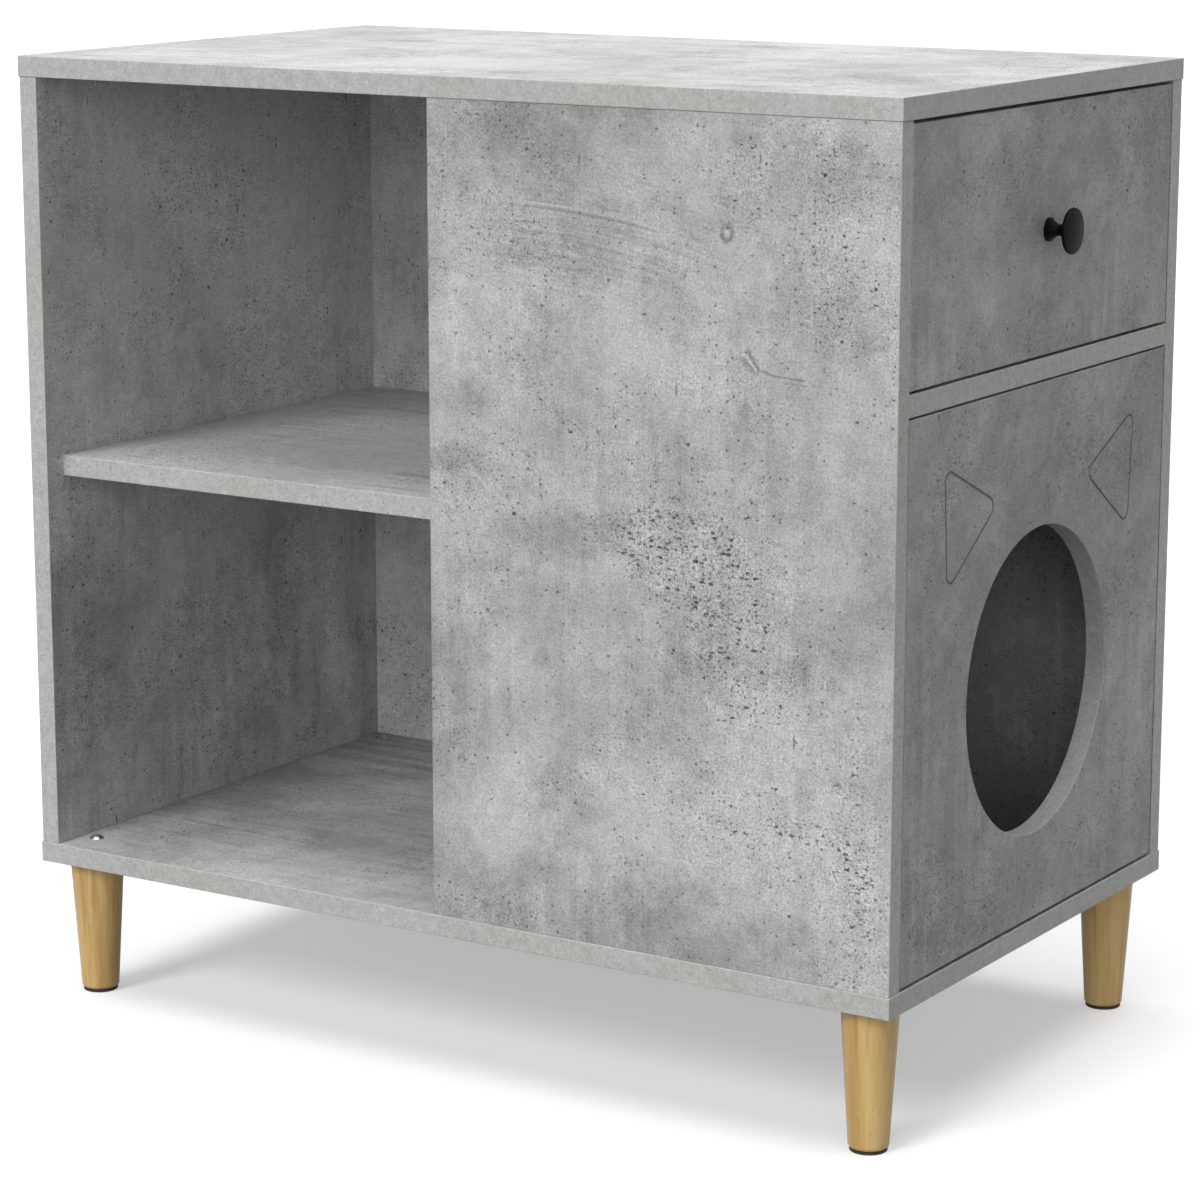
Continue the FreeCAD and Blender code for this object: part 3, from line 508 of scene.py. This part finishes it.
def door_painted_groove_shade(s, place):
    """Painted shade in the grooves of the two ears, and a little on the face beside them."""
    low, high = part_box("entrance_door")
    own = s.vector("SUBTRACT", place, (high.x, (low.y + high.y) / 2, low.z + hole_height))
    deep, sideways, up = s.axes(own)
    sideways = s.math("ABSOLUTE", sideways)
    above_floor = s.math("GREATER_THAN", deep, -groove_depths[1])
    groove_painted_shade = s.times(s.math("LESS_THAN", deep, -groove_depths[0]), above_floor)
    out = s.vector("LENGTH", s.vector("MULTIPLY", own, (0.0, 1.0, 1.0)))
    clear = s.times(s.math("GREATER_THAN", out, hole_clear), s.math("LESS_THAN", up, ear_limit[1]))
    clear = s.times(clear, s.math("LESS_THAN", sideways, ear_limit[0]))
    # Painted shade: the floor and walls of the grooves are darkened.
    groove_painted_shade = s.times(s.times(groove_painted_shade, clear), 0.55)
    # One ear's triangle serves both sides. The grooves run round it, so the face inside it is left out.
    mirrored = s.node("ShaderNodeCombineXYZ", {0: sideways, 2: up}).outputs[0]
    near, beyond = 1.0, -1.0
    for i in range(3):
        first, second, third = (Vector(ear_corners[(i + step) % 3]) for step in range(3))
        run = second - first
        outward = Vector((run.z, 0.0, -run.x))
        if outward.dot(third - first) > 0:
            outward.negate()
        side = s.vector("DOT_PRODUCT", s.vector("SUBTRACT", mirrored, first), outward)
        near = s.math("MINIMUM", near, s.off_line(mirrored, first, second))
        beyond = s.math("MAXIMUM", beyond, side)
    off = s.math("ABSOLUTE", s.plus(near, -ear_rounding))
    # Painted shade spreading onto the face just beside the grooves.
    beside = s.times(s.fade(off, 0.0004, 0.0020, 0.36, 0.0), s.math("GREATER_THAN", beyond, 0.0))
    return 0.0, 0.0, s.math("MAXIMUM", groove_painted_shade, s.times(beside, above_floor))


def board_material(label, directions, place, paler, streaks, prints, marks_and_painted_light, edge):
    """Printed face and banded edges of one board, with its own part of the print, its marks and, for some
    boards, painted light and shade.
    """
    across, along = directions
    concrete, banding, pore = prints
    material, s, shader, coordinates = new_material(label)
    spot = coordinates.outputs["Object"]
    through = across.cross(along)
    turn = Matrix((across, along, through)).to_euler()
    # Tone from the board's marks, which on the back and left panels is painted light and shade.
    tone, pored, mark = marks_and_painted_light(s, spot)
    face = s.node("ShaderNodeGroup", {
        "Vector": s.placed(spot, location=place, rotation=turn), "Tone": s.plus(tone, paler),
        "Pored": pored, "Streaks": streaks}, node_tree=concrete).outputs
    band = s.node("ShaderNodeGroup", {"Vector": spot}, node_tree=banding).outputs["Color"]
    # Painted shade: for the door, its banding and the wall of its hole are darkened by this share.
    band = s.mix(1.0, band, (edge, edge, edge), "MULTIPLY")
    facing = s.math("ABSOLUTE", s.vector("DOT_PRODUCT", coordinates.outputs["Normal"], through))
    shade = s.mix(s.fade(facing, 0.6, 0.8), band, face["Color"])
    shader.inputs["Specular IOR Level"].default_value = 0.25
    # Dark marks of the print, and on the door painted shade in and beside the grooves of its ears.
    s.put(shader.inputs["Base Color"], s.mix(mark, shade, pore))
    s.put(shader.inputs["Roughness"], face["Roughness"])
    s.put(shader.inputs["Normal"], s.bump(face["Height"], 0.12, 0.0003))
    return material


class CATHOUSE_OT_boards(bpy.types.Operator):
    """Prints the faces and bands the edges of the carcase, the drawer and the door"""
    bl_idname = "cat_house.boards"
    bl_label = "Printed boards"

    def execute(self, context):
        settings = context.scene.cat_house.board
        prints = concrete_print(settings), banding_print(settings), settings.pore
        flat = AXIS_Y, AXIS_X
        front = AXIS_X, AXIS_Z
        side = AXIS_Y, AXIS_Z
        drawer_side = AXIS_Z, AXIS_X
        drawer_back = AXIS_Z, AXIS_Y
        # Each board with the directions across and along its print, its place in the print, how much paler it
        # is and how strong its streaks are. The shelf and the left panel are made paler as painted light in
        # the open shelves, and the door and the drawer front darker as painted shade on the side that faces
        # +X.
        boards = (
            ("top_panel", flat, (1.9, 4.7, 0.0), 0.02, 0.28),
            ("bottom_panel", flat, (5.3, 2.1, 0.0), 0.01, 0.55),
            ("shelf", flat, (8.2, 6.4, 0.0), 0.11, 0.70),
            ("drawer_deck", flat, (2.9, 9.6, 0.0), 0.00, 0.20),
            ("front_panel", front, (0.0, 0.0, 0.0), 0.00, 0.22),
            ("back_panel", front, (4.4, 7.3, 0.0), 0.00, 0.20),
            ("left_panel", side, (7.5, 3.2, 0.0), 0.06, 0.26),
            ("divider_panel", side, (1.4, 5.8, 0.0), -0.06, 0.26),
            ("entrance_door", side, (6.1, 8.8, 0.0), -0.06, 0.26),
            ("drawer_front", side, (9.2, 1.6, 0.0), -0.05, 0.30),
            ("drawer_left_side", drawer_side, (3.6, 2.7, 0.0), 0.04, 0.26),
            ("drawer_right_side", drawer_side, (8.9, 5.1, 0.0), 0.04, 0.26),
            ("drawer_back", drawer_back, (2.4, 6.9, 0.0), 0.04, 0.26),
        )
        marks_and_painted_light = {"front_panel": front_marks, "back_panel": back_painted_light_and_shade, "left_panel": left_painted_light_and_shade,
                 "entrance_door": door_painted_groove_shade}
        for name, directions, place, paler, streaks in boards:
            label = "Concrete " + name.replace("_", " ")
            # The door's banding takes painted shade.
            edge = painted_hole_wall_shade if name == "entrance_door" else 1.0
            paint([name], board_material(
                label, directions, place, paler, streaks, prints, marks_and_painted_light.get(name, no_marks), edge))
        return {"FINISHED"}


class CATHOUSE_OT_legs(bpy.types.Operator):
    """Gives each turned leg its own length of varnished wood"""
    bl_idname = "cat_house.legs"
    bl_label = "Turned legs"

    def execute(self, context):
        settings = context.scene.cat_house.leg
        names = ["front_left_leg", "front_right_leg", "back_left_leg", "back_right_leg"]
        for index, name in enumerate(names):
            low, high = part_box(name)
            middle = (low + high) / 2
            material, s, shader, coordinates = new_material("Leg wood " + str(index + 1))
            spot = Vector(leg_step) * index - Vector((middle.x, middle.y, 0.0))
            own = s.placed(coordinates.outputs["Object"], location=spot)
            bands = s.noise(s.placed(own, scale=(60, 26, 3.0)), 1.0, 3.0, 0.55, 0.8)
            fibres = s.noise(s.placed(own, scale=(420, 420, 16)), 1.0, 4.0, 0.65, 0.2)
            shade = s.plus(s.times(bands, 0.75), s.times(fibres, 0.25))
            wood = s.ramp(s.fade(shade, 0.34, 0.66),
                          [(0.0, settings.amber), (0.5, settings.honey), (1.0, settings.straw)])
            veins = s.fade(s.noise(s.placed(own, scale=(150, 150, 2.2)), 1.0, 2.0, 0.5, 0.3), 0.58, 0.70)
            wood = s.mix(s.times(veins, 0.55), wood, settings.vein)
            flecks = s.pores(s.placed(own, scale=(1.0, 1.0, 0.10)), 620.0, 0.16, 0.10, 0.24)
            s.put(shader.inputs["Base Color"], s.mix(s.times(flecks, 0.5), wood, settings.fleck))
            s.put(shader.inputs["Roughness"], s.fade(fibres, 0.3, 0.7, 0.36, 0.50))
            s.put(shader.inputs["Normal"], s.bump(s.plus(fibres, s.times(flecks, -0.6)), 0.12, 0.0002))
            paint([name], material)
        return {"FINISHED"}


def plain_finish(name, shade, grain, depth, rough, relief, metal=0.0):
    """Fine-grained finish: a colour that varies by depth at a grain size, with roughness and relief."""
    material, s, shader, coordinates = new_material(name)
    own = coordinates.outputs["Object"]
    fine = s.noise(own, 1.0 / grain, 4.0, 0.65)
    broad = s.noise(own, 0.06 / grain, 3.0, 0.5)
    tone = s.plus(s.times(s.plus(s.plus(fine, broad), -1.0), depth), 1.0)
    s.put(shader.inputs["Base Color"], s.mix(1.0, shade, s.grey(tone), "MULTIPLY"))
    spread = 0.06
    s.put(shader.inputs["Roughness"], s.fade(fine, 0.3, 0.7, rough - spread, rough + spread))
    s.put(shader.inputs["Normal"], s.bump(fine, relief, grain / 4))
    shader.inputs["Metallic"].default_value = metal
    return material


def finish_piece(name, bm, body, slot, material, *stands_for):
    """Makes an object of a bmesh, which rides on a body and stands for CAD nodes."""
    mesh = bpy.data.meshes.new(name)
    bm.to_mesh(mesh)
    bm.free()
    mesh.shade_smooth()
    mesh.set_sharp_from_angle(angle=crease)
    mesh.materials.append(material)
    piece = bpy.data.objects.new(name, mesh)
    bpy.context.scene.collection.objects.link(piece)
    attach(piece, body)
    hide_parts(*stands_for)


def chain(bm, points, closed=False):
    """Joins points by edges, one after another."""
    return [bm.edges.new(pair) for pair in zip(points, points[1:] + points[:1] if closed else points[1:])]


def spin_round(bm, axis, steps):
    """Turns an outline once round an axis through the origin."""
    bmesh.ops.spin(
        bm, geom=bm.verts[:] + bm.edges[:], axis=axis, angle=2 * math.pi, steps=steps, use_merge=True)
    bmesh.ops.remove_doubles(bm, verts=bm.verts[:], dist=weld)


def turned(outline, rounding, axis):
    """Turns an outline of (along, out) points about an axis through the origin, with rounded corners.

    An outline that starts off the axis is closed to a ring.
    """
    bm = bmesh.new()
    away = axis.orthogonal().normalized()
    corners = [bm.verts.new(axis * along + away * out) for along, out in outline]
    chain(bm, corners, closed=outline[0][1] > 0)
    sharp = [corner for corner, (along, out) in zip(corners, outline) if out > 0]
    bmesh.ops.bevel(bm, geom=sharp, offset=rounding, affect="VERTICES", segments=4, profile=0.5, material=-1)
    spin_round(bm, axis, 64)
    bmesh.ops.recalc_face_normals(bm, faces=bm.faces[:])
    return bm


def repeated(bm, places):
    """Puts a copy of what a bmesh holds at each place, instead of what it held."""
    first = bm.verts[:]
    whole = first + bm.edges[:] + bm.faces[:]
    for place in places:
        copy = bmesh.ops.duplicate(bm, geom=whole)["geom"]
        own = [item for item in copy if isinstance(item, bmesh.types.BMVert)]
        bmesh.ops.transform(bm, matrix=place, verts=own)
    bmesh.ops.delete(bm, geom=first, context="VERTS")


def solid_boxes(name):
    """Lowest and highest corner of each solid in a node, in the order of their places."""
    bm = bmesh.new()
    bm.from_mesh(nodes[name].data)
    bmesh.ops.remove_doubles(bm, verts=bm.verts[:], dist=weld)
    waiting = set(bm.verts)
    boxes = []
    while waiting:
        open_ends = [waiting.pop()]
        own = []
        while open_ends:
            vert = open_ends.pop()
            own.append(vert.co.copy())
            for edge in vert.link_edges:
                other = edge.other_vert(vert)
                if other in waiting:
                    waiting.remove(other)
                    open_ends.append(other)
        low = Vector([min(point[i] for point in own) for i in range(3)])
        high = Vector([max(point[i] for point in own) for i in range(3)])
        boxes.append((low, high))
    bm.free()
    return sorted(boxes, key=lambda box: tuple(box[0]))


class CATHOUSE_OT_foot_pads(bpy.types.Operator):
    """Makes the rubber pads under the legs, with rounded rims"""
    bl_idname = "cat_house.foot_pads"
    bl_label = "Foot pads"

    def execute(self, context):
        settings = context.scene.cat_house.fitting
        boxes = solid_boxes("foot_pads")
        low, high = boxes[0]
        reach = (high.x - low.x) / 2
        height = high.z - low.z
        outline = [(0, 0), (0, reach), (height, reach), (height, 0)]
        rounding = height * 0.35
        bm = turned(outline, rounding, AXIS_Z)
        places = [Matrix.Translation(((a.x + b.x) / 2, (a.y + b.y) / 2, a.z)) for a, b in boxes]
        repeated(bm, places)
        rubber = plain_finish("Black rubber", settings.pad, 0.0008, 0.40, 0.70, 0.30)
        finish_piece("rubber_feet", bm, "carcase", "foot_pad", rubber, "foot_pads")
        return {"FINISHED"}


class CATHOUSE_OT_knob(bpy.types.Operator):
    """Paints the drawer's knob satin black"""
    bl_idname = "cat_house.knob"
    bl_label = "Knob"

    def execute(self, context):
        settings = context.scene.cat_house.fitting
        black = plain_finish("Satin black", settings.knob, 0.0006, 0.25, 0.40, 0.10)
        shader = black.node_tree.nodes["Principled BSDF"]
        shader.inputs["Specular IOR Level"].default_value = 0.03
        paint(["drawer_knob"], black)
        return {"FINISHED"}


def cross_screw(head, shank, length, sunk):
    """A cross-head screw along -Z from the origin, where its head is seated; a sunk head lies below it."""
    wide, tall = head
    top = 0.0 if sunk else tall
    if sunk:
        outline = [(0, wide * 0.30), (0, wide * 0.5), (-tall, shank * 0.5)]
    else:
        outline = [(tall, wide * 0.30), (tall * 0.84, wide * 0.42), (tall * 0.45, wide * 0.5),
                   (0, wide * 0.5), (0, shank * 0.5)]
    outline += [(-length * 0.8, shank * 0.5), (-length, shank * 0.12), (-length, 0)]
    bm = bmesh.new()
    chain(bm, [bm.verts.new((out, 0, along)) for along, out in outline])
    spin_round(bm, AXIS_Z, 24)
    rim = [edge for edge in bm.edges if edge.is_boundary]
    arm, half = wide * 0.25, wide * 0.07
    taper, depth = 0.65, tall * 0.8
    corners = []
    for quarter in range(4):
        turn = Matrix.Rotation(quarter * math.pi / 2, 3, "Z")
        for across, up in ((arm, -half), (arm, half), (half, half)):
            corners.append(bm.verts.new(turn @ Vector((across, up, top))))
    cross = chain(bm, corners, closed=True)
    bmesh.ops.bridge_loops(bm, edges=rim + cross)
    walls = bmesh.ops.extrude_edge_only(bm, edges=cross)["geom"]
    recess = [item for item in walls if isinstance(item, bmesh.types.BMVert)]
    bmesh.ops.scale(bm, vec=(taper, taper, 1.0), verts=recess)
    bmesh.ops.translate(bm, vec=(0, 0, -depth), verts=recess)
    bmesh.ops.edgeloop_fill(bm, edges=[edge for edge in bm.edges if edge.is_boundary])
    bmesh.ops.recalc_face_normals(bm, faces=bm.faces[:])
    return bm


class CATHOUSE_OT_screws(bpy.types.Operator):
    """Makes the cross-head screws of the runners, the drawer and the catch, and plates the other steel"""
    bl_idname = "cat_house.screws"
    bl_label = "Screws and board joints"

    def execute(self, context):
        settings = context.scene.cat_house.fitting
        zinc = plain_finish("Bright zinc", settings.zinc, 0.0010, 0.25, 0.30, 0.06, 1.0)
        paint(["leg_bolts", "leg_inserts", "cam_bolts", "cam_discs", "confirmat_screws", "door_pivot_pins",
               "strike_plate", "drawer_cam_bolts", "drawer_cam_discs", "drawer_confirmats",
               "cabinet_roller_axles", "drawer_roller_axles"], zinc)
        paint(["wood_dowels"], plain_finish("Beech", settings.dowel, 0.0006, 0.35, 0.6, 0.3))
        small, large = settings.screw_head, settings.knob_screw_head
        thin, thick = settings.screw_shank, settings.knob_screw_shank
        screws = (
            ("cabinet_runner_screws", "carcase", AXIS_Y, small, thin, False),
            ("drawer_runner_screws", "drawer", -AXIS_Z, small, thin, False),
            ("drawer_bottom_screws", "drawer", -AXIS_Z, small, thin, False),
            ("knob_screw", "drawer", -AXIS_X, large, thick, False),
            ("catch_screws", "carcase", -AXIS_Z, small, thin, True),
            ("strike_screw", "door", -AXIS_X, small, thin, True),
        )
        for name, body, outward, tall, shank, sunk in screws:
            boxes = solid_boxes(name)
            long_way = [abs(part) for part in outward].index(1)
            span = boxes[0][1] - boxes[0][0]
            wide = span[(long_way + 1) % 3]
            seat_depth = 0.0 if sunk else tall
            bm = cross_screw((wide, tall), shank, span[long_way] - seat_depth, sunk)
            places = []
            for low, high in boxes:
                middle = (low + high) / 2
                way = outward * (-1 if outward == AXIS_Y and middle.y > 0 else 1)
                seat = middle + way * (span[long_way] / 2 - seat_depth)
                places.append(Matrix.Translation(seat) @ way.to_track_quat("Z", "Y").to_matrix().to_4x4())
            repeated(bm, places)
            finish_piece(name + "_cross", bm, body, "zinc_steel", zinc, name)
        return {"FINISHED"}


def bent_strip(section, bend, stations):
    """A strip bent along a section of (Y, Z) points and drawn through stations along X."""
    bm = bmesh.new()
    points = [bm.verts.new((stations[0], *point)) for point in section]
    chain(bm, points)
    bends = []
    for corner, before, point, after in zip(points[1:], section, section[1:], section[2:]):
        into = Vector(point) - Vector(before)
        out = Vector(after) - Vector(point)
        if abs(into.cross(out)) > 1e-9:
            bends.append(corner)
    bmesh.ops.bevel(bm, geom=bends, offset=bend, affect="VERTICES", segments=5, profile=0.5, material=-1)
    edges = bm.edges[:]
    for start, end in zip(stations, stations[1:]):
        drawn = bmesh.ops.extrude_edge_only(bm, edges=edges)["geom"]
        edges = [item for item in drawn if isinstance(item, bmesh.types.BMEdge)]
        ends = [item for item in drawn if isinstance(item, bmesh.types.BMVert)]
        bmesh.ops.translate(bm, vec=(end - start, 0, 0), verts=ends)
    return bm


def punch_slot(bm, start, end, height):
    """Cuts a slot with round ends out of the upright of a strip."""
    near = 1e-5
    centre = (start + end) / 2
    found = []
    for face in bm.faces:
        middle = face.calc_center_median()
        tall = max(v.co.z for v in face.verts) - min(v.co.z for v in face.verts)
        if abs(middle.x - centre) < near and abs(tall - height) < near and abs(face.normal.y) > 0.9:
            found.append(face)
    if len(found) != 1:
        raise RuntimeError("the slot's place in the runner was not found")
    middle = found[0].calc_center_median()
    ends = [edge for edge in found[0].edges if abs(edge.verts[0].co.x - edge.verts[1].co.x) < near]
    cut = bmesh.ops.subdivide_edges(bm, edges=ends, cuts=5)["geom_inner"]
    for item in cut:
        if isinstance(item, bmesh.types.BMVert):
            off = item.co.z - middle.z
            bulge = math.sqrt(max(height ** 2 / 4 - off ** 2, 0))
            item.co.x += math.copysign(bulge, item.co.x - middle.x)
    slot = []
    for face in bm.faces:
        off = face.calc_center_bounds() - middle
        if abs(off.x) < near and abs(off.y) < near and abs(off.z) < height / 2:
            slot.append(face)
    bmesh.ops.delete(bm, geom=slot, context="FACES")


def channel(settings, low, high, side):
    """The cabinet's half of a runner: a channel, open towards the drawer, with slots in its upright."""
    outer, inner = (low.y, high.y) if side < 0 else (high.y, low.y)
    middle = (low.z + high.z) / 2
    rise = settings.slot_height / 2
    section = [(inner, low.z), (outer, low.z), (outer, middle - rise), (outer, middle + rise),
               (outer, high.z), (inner, high.z)]
    starts = [low.x + (high.x - low.x) * share for share in slot_places]
    slots = [(start, start + settings.slot_length) for start in starts]
    bm = bent_strip(section, settings.bend, [low.x, *(place for slot in slots for place in slot), high.x])
    for start, end in slots:
        punch_slot(bm, start, end, settings.slot_height)
    return bm


def rail(settings, low, high, side):
    """The drawer's half of a runner: a foot under the drawer, an upright, and a track above the roller."""
    outer, inner = (low.y, high.y) if side < 0 else (high.y, low.y)
    web = outer - side * settings.rail_web
    track = high.z - settings.steel
    section = [(inner, low.z), (web, low.z), (web, track), (outer, track)]
    return bent_strip(section, settings.bend, [low.x, high.x])


def thicken(bm, side, steel):
    """Gives a strip its thickness, inwards from the side of its upright that looks away from the drawer."""
    bmesh.ops.recalc_face_normals(bm, faces=bm.faces[:])
    uprights = [face for face in bm.faces if abs(face.normal.y) > 0.99]
    if max(uprights, key=bmesh.types.BMFace.calc_area).normal.y * side < 0:
        bmesh.ops.reverse_faces(bm, faces=bm.faces[:])
    bmesh.ops.solidify(bm, geom=bm.faces[:], thickness=steel)
    bmesh.ops.recalc_face_normals(bm, faces=bm.faces[:])


class CATHOUSE_OT_runners(bpy.types.Operator):
    """Bends the cabinet channels and the drawer rails from steel strip"""
    bl_idname = "cat_house.runners"
    bl_label = "Drawer runners"

    def execute(self, context):
        settings = context.scene.cat_house.runner
        coat = plain_finish("White powder coat", settings.paint, 0.0012, 0.08, 0.42, 0.15)
        halves = (("cabinet", "carcase", "channel_", channel), ("drawer", "drawer", "rail_", rail))
        for hand, side in (("left", -1), ("right", 1)):
            for owner, body, label, bent in halves:
                node = owner + "_runner_" + hand
                bm = bent(settings, *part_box(node), side)
                thicken(bm, side, settings.steel)
                finish_piece(label + hand, bm, body, "runner_paint", coat, node)
        return {"FINISHED"}


class CATHOUSE_OT_rollers(bpy.types.Operator):
    """Turns the nylon rollers of the runners, and paints the pivot bushes"""
    bl_idname = "cat_house.rollers"
    bl_label = "Rollers"

    def execute(self, context):
        settings = context.scene.cat_house.runner
        rounding = 0.0004
        hub_slope = 1.1
        nylon = plain_finish("Natural nylon", settings.nylon, 0.0009, 0.08, 0.45, 0.05)
        paint(["pivot_bushes"], plain_finish("Black nylon", settings.bush, 0.0009, 0.20, 0.50, 0.05))
        for owner in ("cabinet", "drawer"):
            for hand in ("left", "right"):
                node = owner + "_roller_" + hand
                low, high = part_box(node)
                half = (high.y - low.y) / 2
                reach = (high.z - low.z) / 2
                bore, hub = settings.roller_bore / 2, settings.roller_hub / 2
                rim = reach - settings.roller_rim
                web = half - settings.roller_dish
                side = [(half, bore), (half, hub), (web, hub * hub_slope), (web, rim - rounding),
                        (half, rim), (half, reach)]
                outline = [(-along, out) for along, out in side] + side[::-1]
                bm = turned(outline, rounding, AXIS_Y)
                bmesh.ops.translate(bm, vec=(low + high) / 2, verts=bm.verts[:])
                finish_piece("turned_" + node, bm, node, "nylon", nylon, node)
        return {"FINISHED"}


class CATHOUSE_OT_catch(bpy.types.Operator):
    """Paints the magnetic catch of the door"""
    bl_idname = "cat_house.catch"
    bl_label = "Magnetic catch"

    def execute(self, context):
        settings = context.scene.cat_house.fitting
        paint(["catch_housing"], plain_finish("Grey plastic", settings.catch, 0.0007, 0.12, 0.5, 0.15))
        paint(["catch_magnet"], plain_finish("Ferrite", settings.magnet, 0.0008, 0.4, 0.6, 0.3))
        return {"FINISHED"}


class CATHOUSE_OT_drawer_bottom(bpy.types.Operator):
    """Prints the upper face of the drawer's hardboard bottom, and leaves its fibre bare below"""
    bl_idname = "cat_house.drawer_bottom"
    bl_label = "Drawer bottom"

    def execute(self, context):
        settings = context.scene.cat_house.hardboard
        material, s, shader, coordinates = new_material("Hardboard")
        own = coordinates.outputs["Object"]
        face = s.node("ShaderNodeGroup", {
            "Vector": s.placed(own, location=(6.7, 1.1, 0.0)), "Tone": 0.05, "Streaks": 0.26},
            node_tree=bpy.data.node_groups["Concrete print"])
        waves = s.vector("SINE", s.vector("MULTIPLY", own, [2 * math.pi / settings.screen] * 3))
        axes = s.axes(waves)
        screen = s.times(axes[0], axes[1])
        fibre = s.plus(s.noise(own, 700.0, 4.0, 0.7), s.times(s.noise(own, 45.0, 4.0, 0.6), 0.5))
        shade = s.plus(fibre, s.times(screen, 0.08))
        bare = s.mix(s.fade(shade, 0.55, 0.95), settings.dark, settings.pale)
        printed = s.fade(s.axes(coordinates.outputs["Normal"])[2], 0.6, 0.8)
        s.put(shader.inputs["Base Color"], s.mix(printed, bare, face.outputs["Color"]))
        s.put(shader.inputs["Roughness"], s.fade(printed, 0.0, 1.0, 0.80, 0.56))
        relief = s.times(s.plus(screen, fibre), s.plus(s.times(printed, -1.0), 1.0))
        s.put(shader.inputs["Normal"], s.bump(relief, 0.25, 0.0003))
        paint(["drawer_bottom"], material)
        return {"FINISHED"}


def white_to_viewer(s):
    """1 for rays from the camera, a mirroring or a clear surface, and 0 for those that only light."""
    rays = s.node("ShaderNodeLightPath").outputs
    seen = s.math("MAXIMUM", rays["Is Camera Ray"], rays["Is Glossy Ray"])
    return s.math("MAXIMUM", seen, rays["Is Transmission Ray"])


def sun(name, energy, spread, towards):
    lamp = bpy.data.lights.new(name, "SUN")
    lamp.energy = energy
    lamp.angle = math.radians(spread)
    made = bpy.data.objects.new(name, lamp)
    made.rotation_euler = Vector(towards).to_track_quat("-Z", "Y").to_euler()
    bpy.context.scene.collection.objects.link(made)


def white_floor(scene):
    """A floor that looks white, keeps the shadow and throws little light back."""
    half_width = 20.0
    thrown, shown, glow = 0.12, 0.62, 0.42
    bm = bmesh.new()
    bmesh.ops.create_grid(bm, x_segments=1, y_segments=1, size=half_width)
    mesh = bpy.data.meshes.new("floor")
    bm.to_mesh(mesh)
    bm.free()
    floor = bpy.data.objects.new("floor", mesh)
    scene.collection.objects.link(floor)
    material, s, shader, coordinates = new_material("White floor")
    seen = white_to_viewer(s)
    s.put(shader.inputs["Base Color"], s.mix(seen, [thrown] * 3, [shown] * 3))
    shader.inputs["Roughness"].default_value = 1.0
    shader.inputs["Specular IOR Level"].default_value = 0.0
    shader.inputs["Emission Color"].default_value = (1.0, 1.0, 1.0, 1.0)
    s.put(shader.inputs["Emission Strength"], s.times(seen, glow))
    mesh.materials.append(material)


def white_world(scene, ambient):
    """A backdrop that looks white and lights the object evenly."""
    world = bpy.data.worlds.new("Studio")
    world.use_nodes = True
    scene.world = world
    s = Shading(world.node_tree)
    background = world.node_tree.nodes["Background"]
    background.inputs["Color"].default_value = (1.0, 1.0, 1.0, 1.0)
    s.put(background.inputs["Strength"], s.fade(white_to_viewer(s), 0.0, 1.0, ambient, 1.0))


class CATHOUSE_OT_stage(bpy.types.Operator):
    """Sets the white floor, the lights and the camera"""
    bl_idname = "cat_house.stage"
    bl_label = "Studio"

    def execute(self, context):
        scene = context.scene
        settings = scene.cat_house.stage
        white_floor(scene)
        white_world(scene, settings.ambient)
        sun("key", settings.key, 20.0, (0.15, 0.78, -0.61))
        sun("overhead", settings.overhead, 50.0, (0.0, 0.0, -1.0))
        sun("fill", settings.fill, 50.0, (-0.50, 1.0, -0.12))

        lens = bpy.data.cameras.new("camera")
        lens.lens = settings.lens
        camera = bpy.data.objects.new("camera", lens)
        camera.location = settings.camera_place
        camera.rotation_euler = (math.pi / 2 - settings.camera_dip, 0.0, settings.camera_turn)
        scene.collection.objects.link(camera)
        scene.camera = camera
        scene.view_settings.view_transform = "Standard"
        return {"FINISHED"}


class CATHOUSE_PT_panel(bpy.types.Panel):
    """Makes the cat house piece by piece"""
    bl_idname = "CATHOUSE_PT_panel"
    bl_label = "Cat House"
    bl_space_type = "VIEW_3D"
    bl_region_type = "UI"
    bl_category = "Cat House"

    def draw(self, context):
        for operator in operators:
            self.layout.operator(operator.bl_idname)


operators = (
    CATHOUSE_OT_boards,
    CATHOUSE_OT_legs,
    CATHOUSE_OT_foot_pads,
    CATHOUSE_OT_knob,
    CATHOUSE_OT_screws,
    CATHOUSE_OT_runners,
    CATHOUSE_OT_rollers,
    CATHOUSE_OT_catch,
    CATHOUSE_OT_drawer_bottom,
    CATHOUSE_OT_stage,
)
classes = (
    PrintedBoardSettings,
    LegSettings,
    FittingSettings,
    RunnerSettings,
    HardboardSettings,
    StageSettings,
    CatHouseSettings,
    *operators,
    CATHOUSE_PT_panel,
)


def register():
    for cls in classes:
        bpy.utils.register_class(cls)
    bpy.types.Scene.cat_house = PointerProperty(type=CatHouseSettings)


def unregister():
    del bpy.types.Scene.cat_house
    for cls in reversed(classes):
        bpy.utils.unregister_class(cls)


def main():
    register()
    bpy.ops.cat_house.boards()
    bpy.ops.cat_house.legs()
    bpy.ops.cat_house.foot_pads()
    bpy.ops.cat_house.knob()
    bpy.ops.cat_house.screws()
    bpy.ops.cat_house.runners()
    bpy.ops.cat_house.rollers()
    bpy.ops.cat_house.catch()
    bpy.ops.cat_house.drawer_bottom()
    bpy.ops.cat_house.stage()


if __name__ == "__main__":
    main()
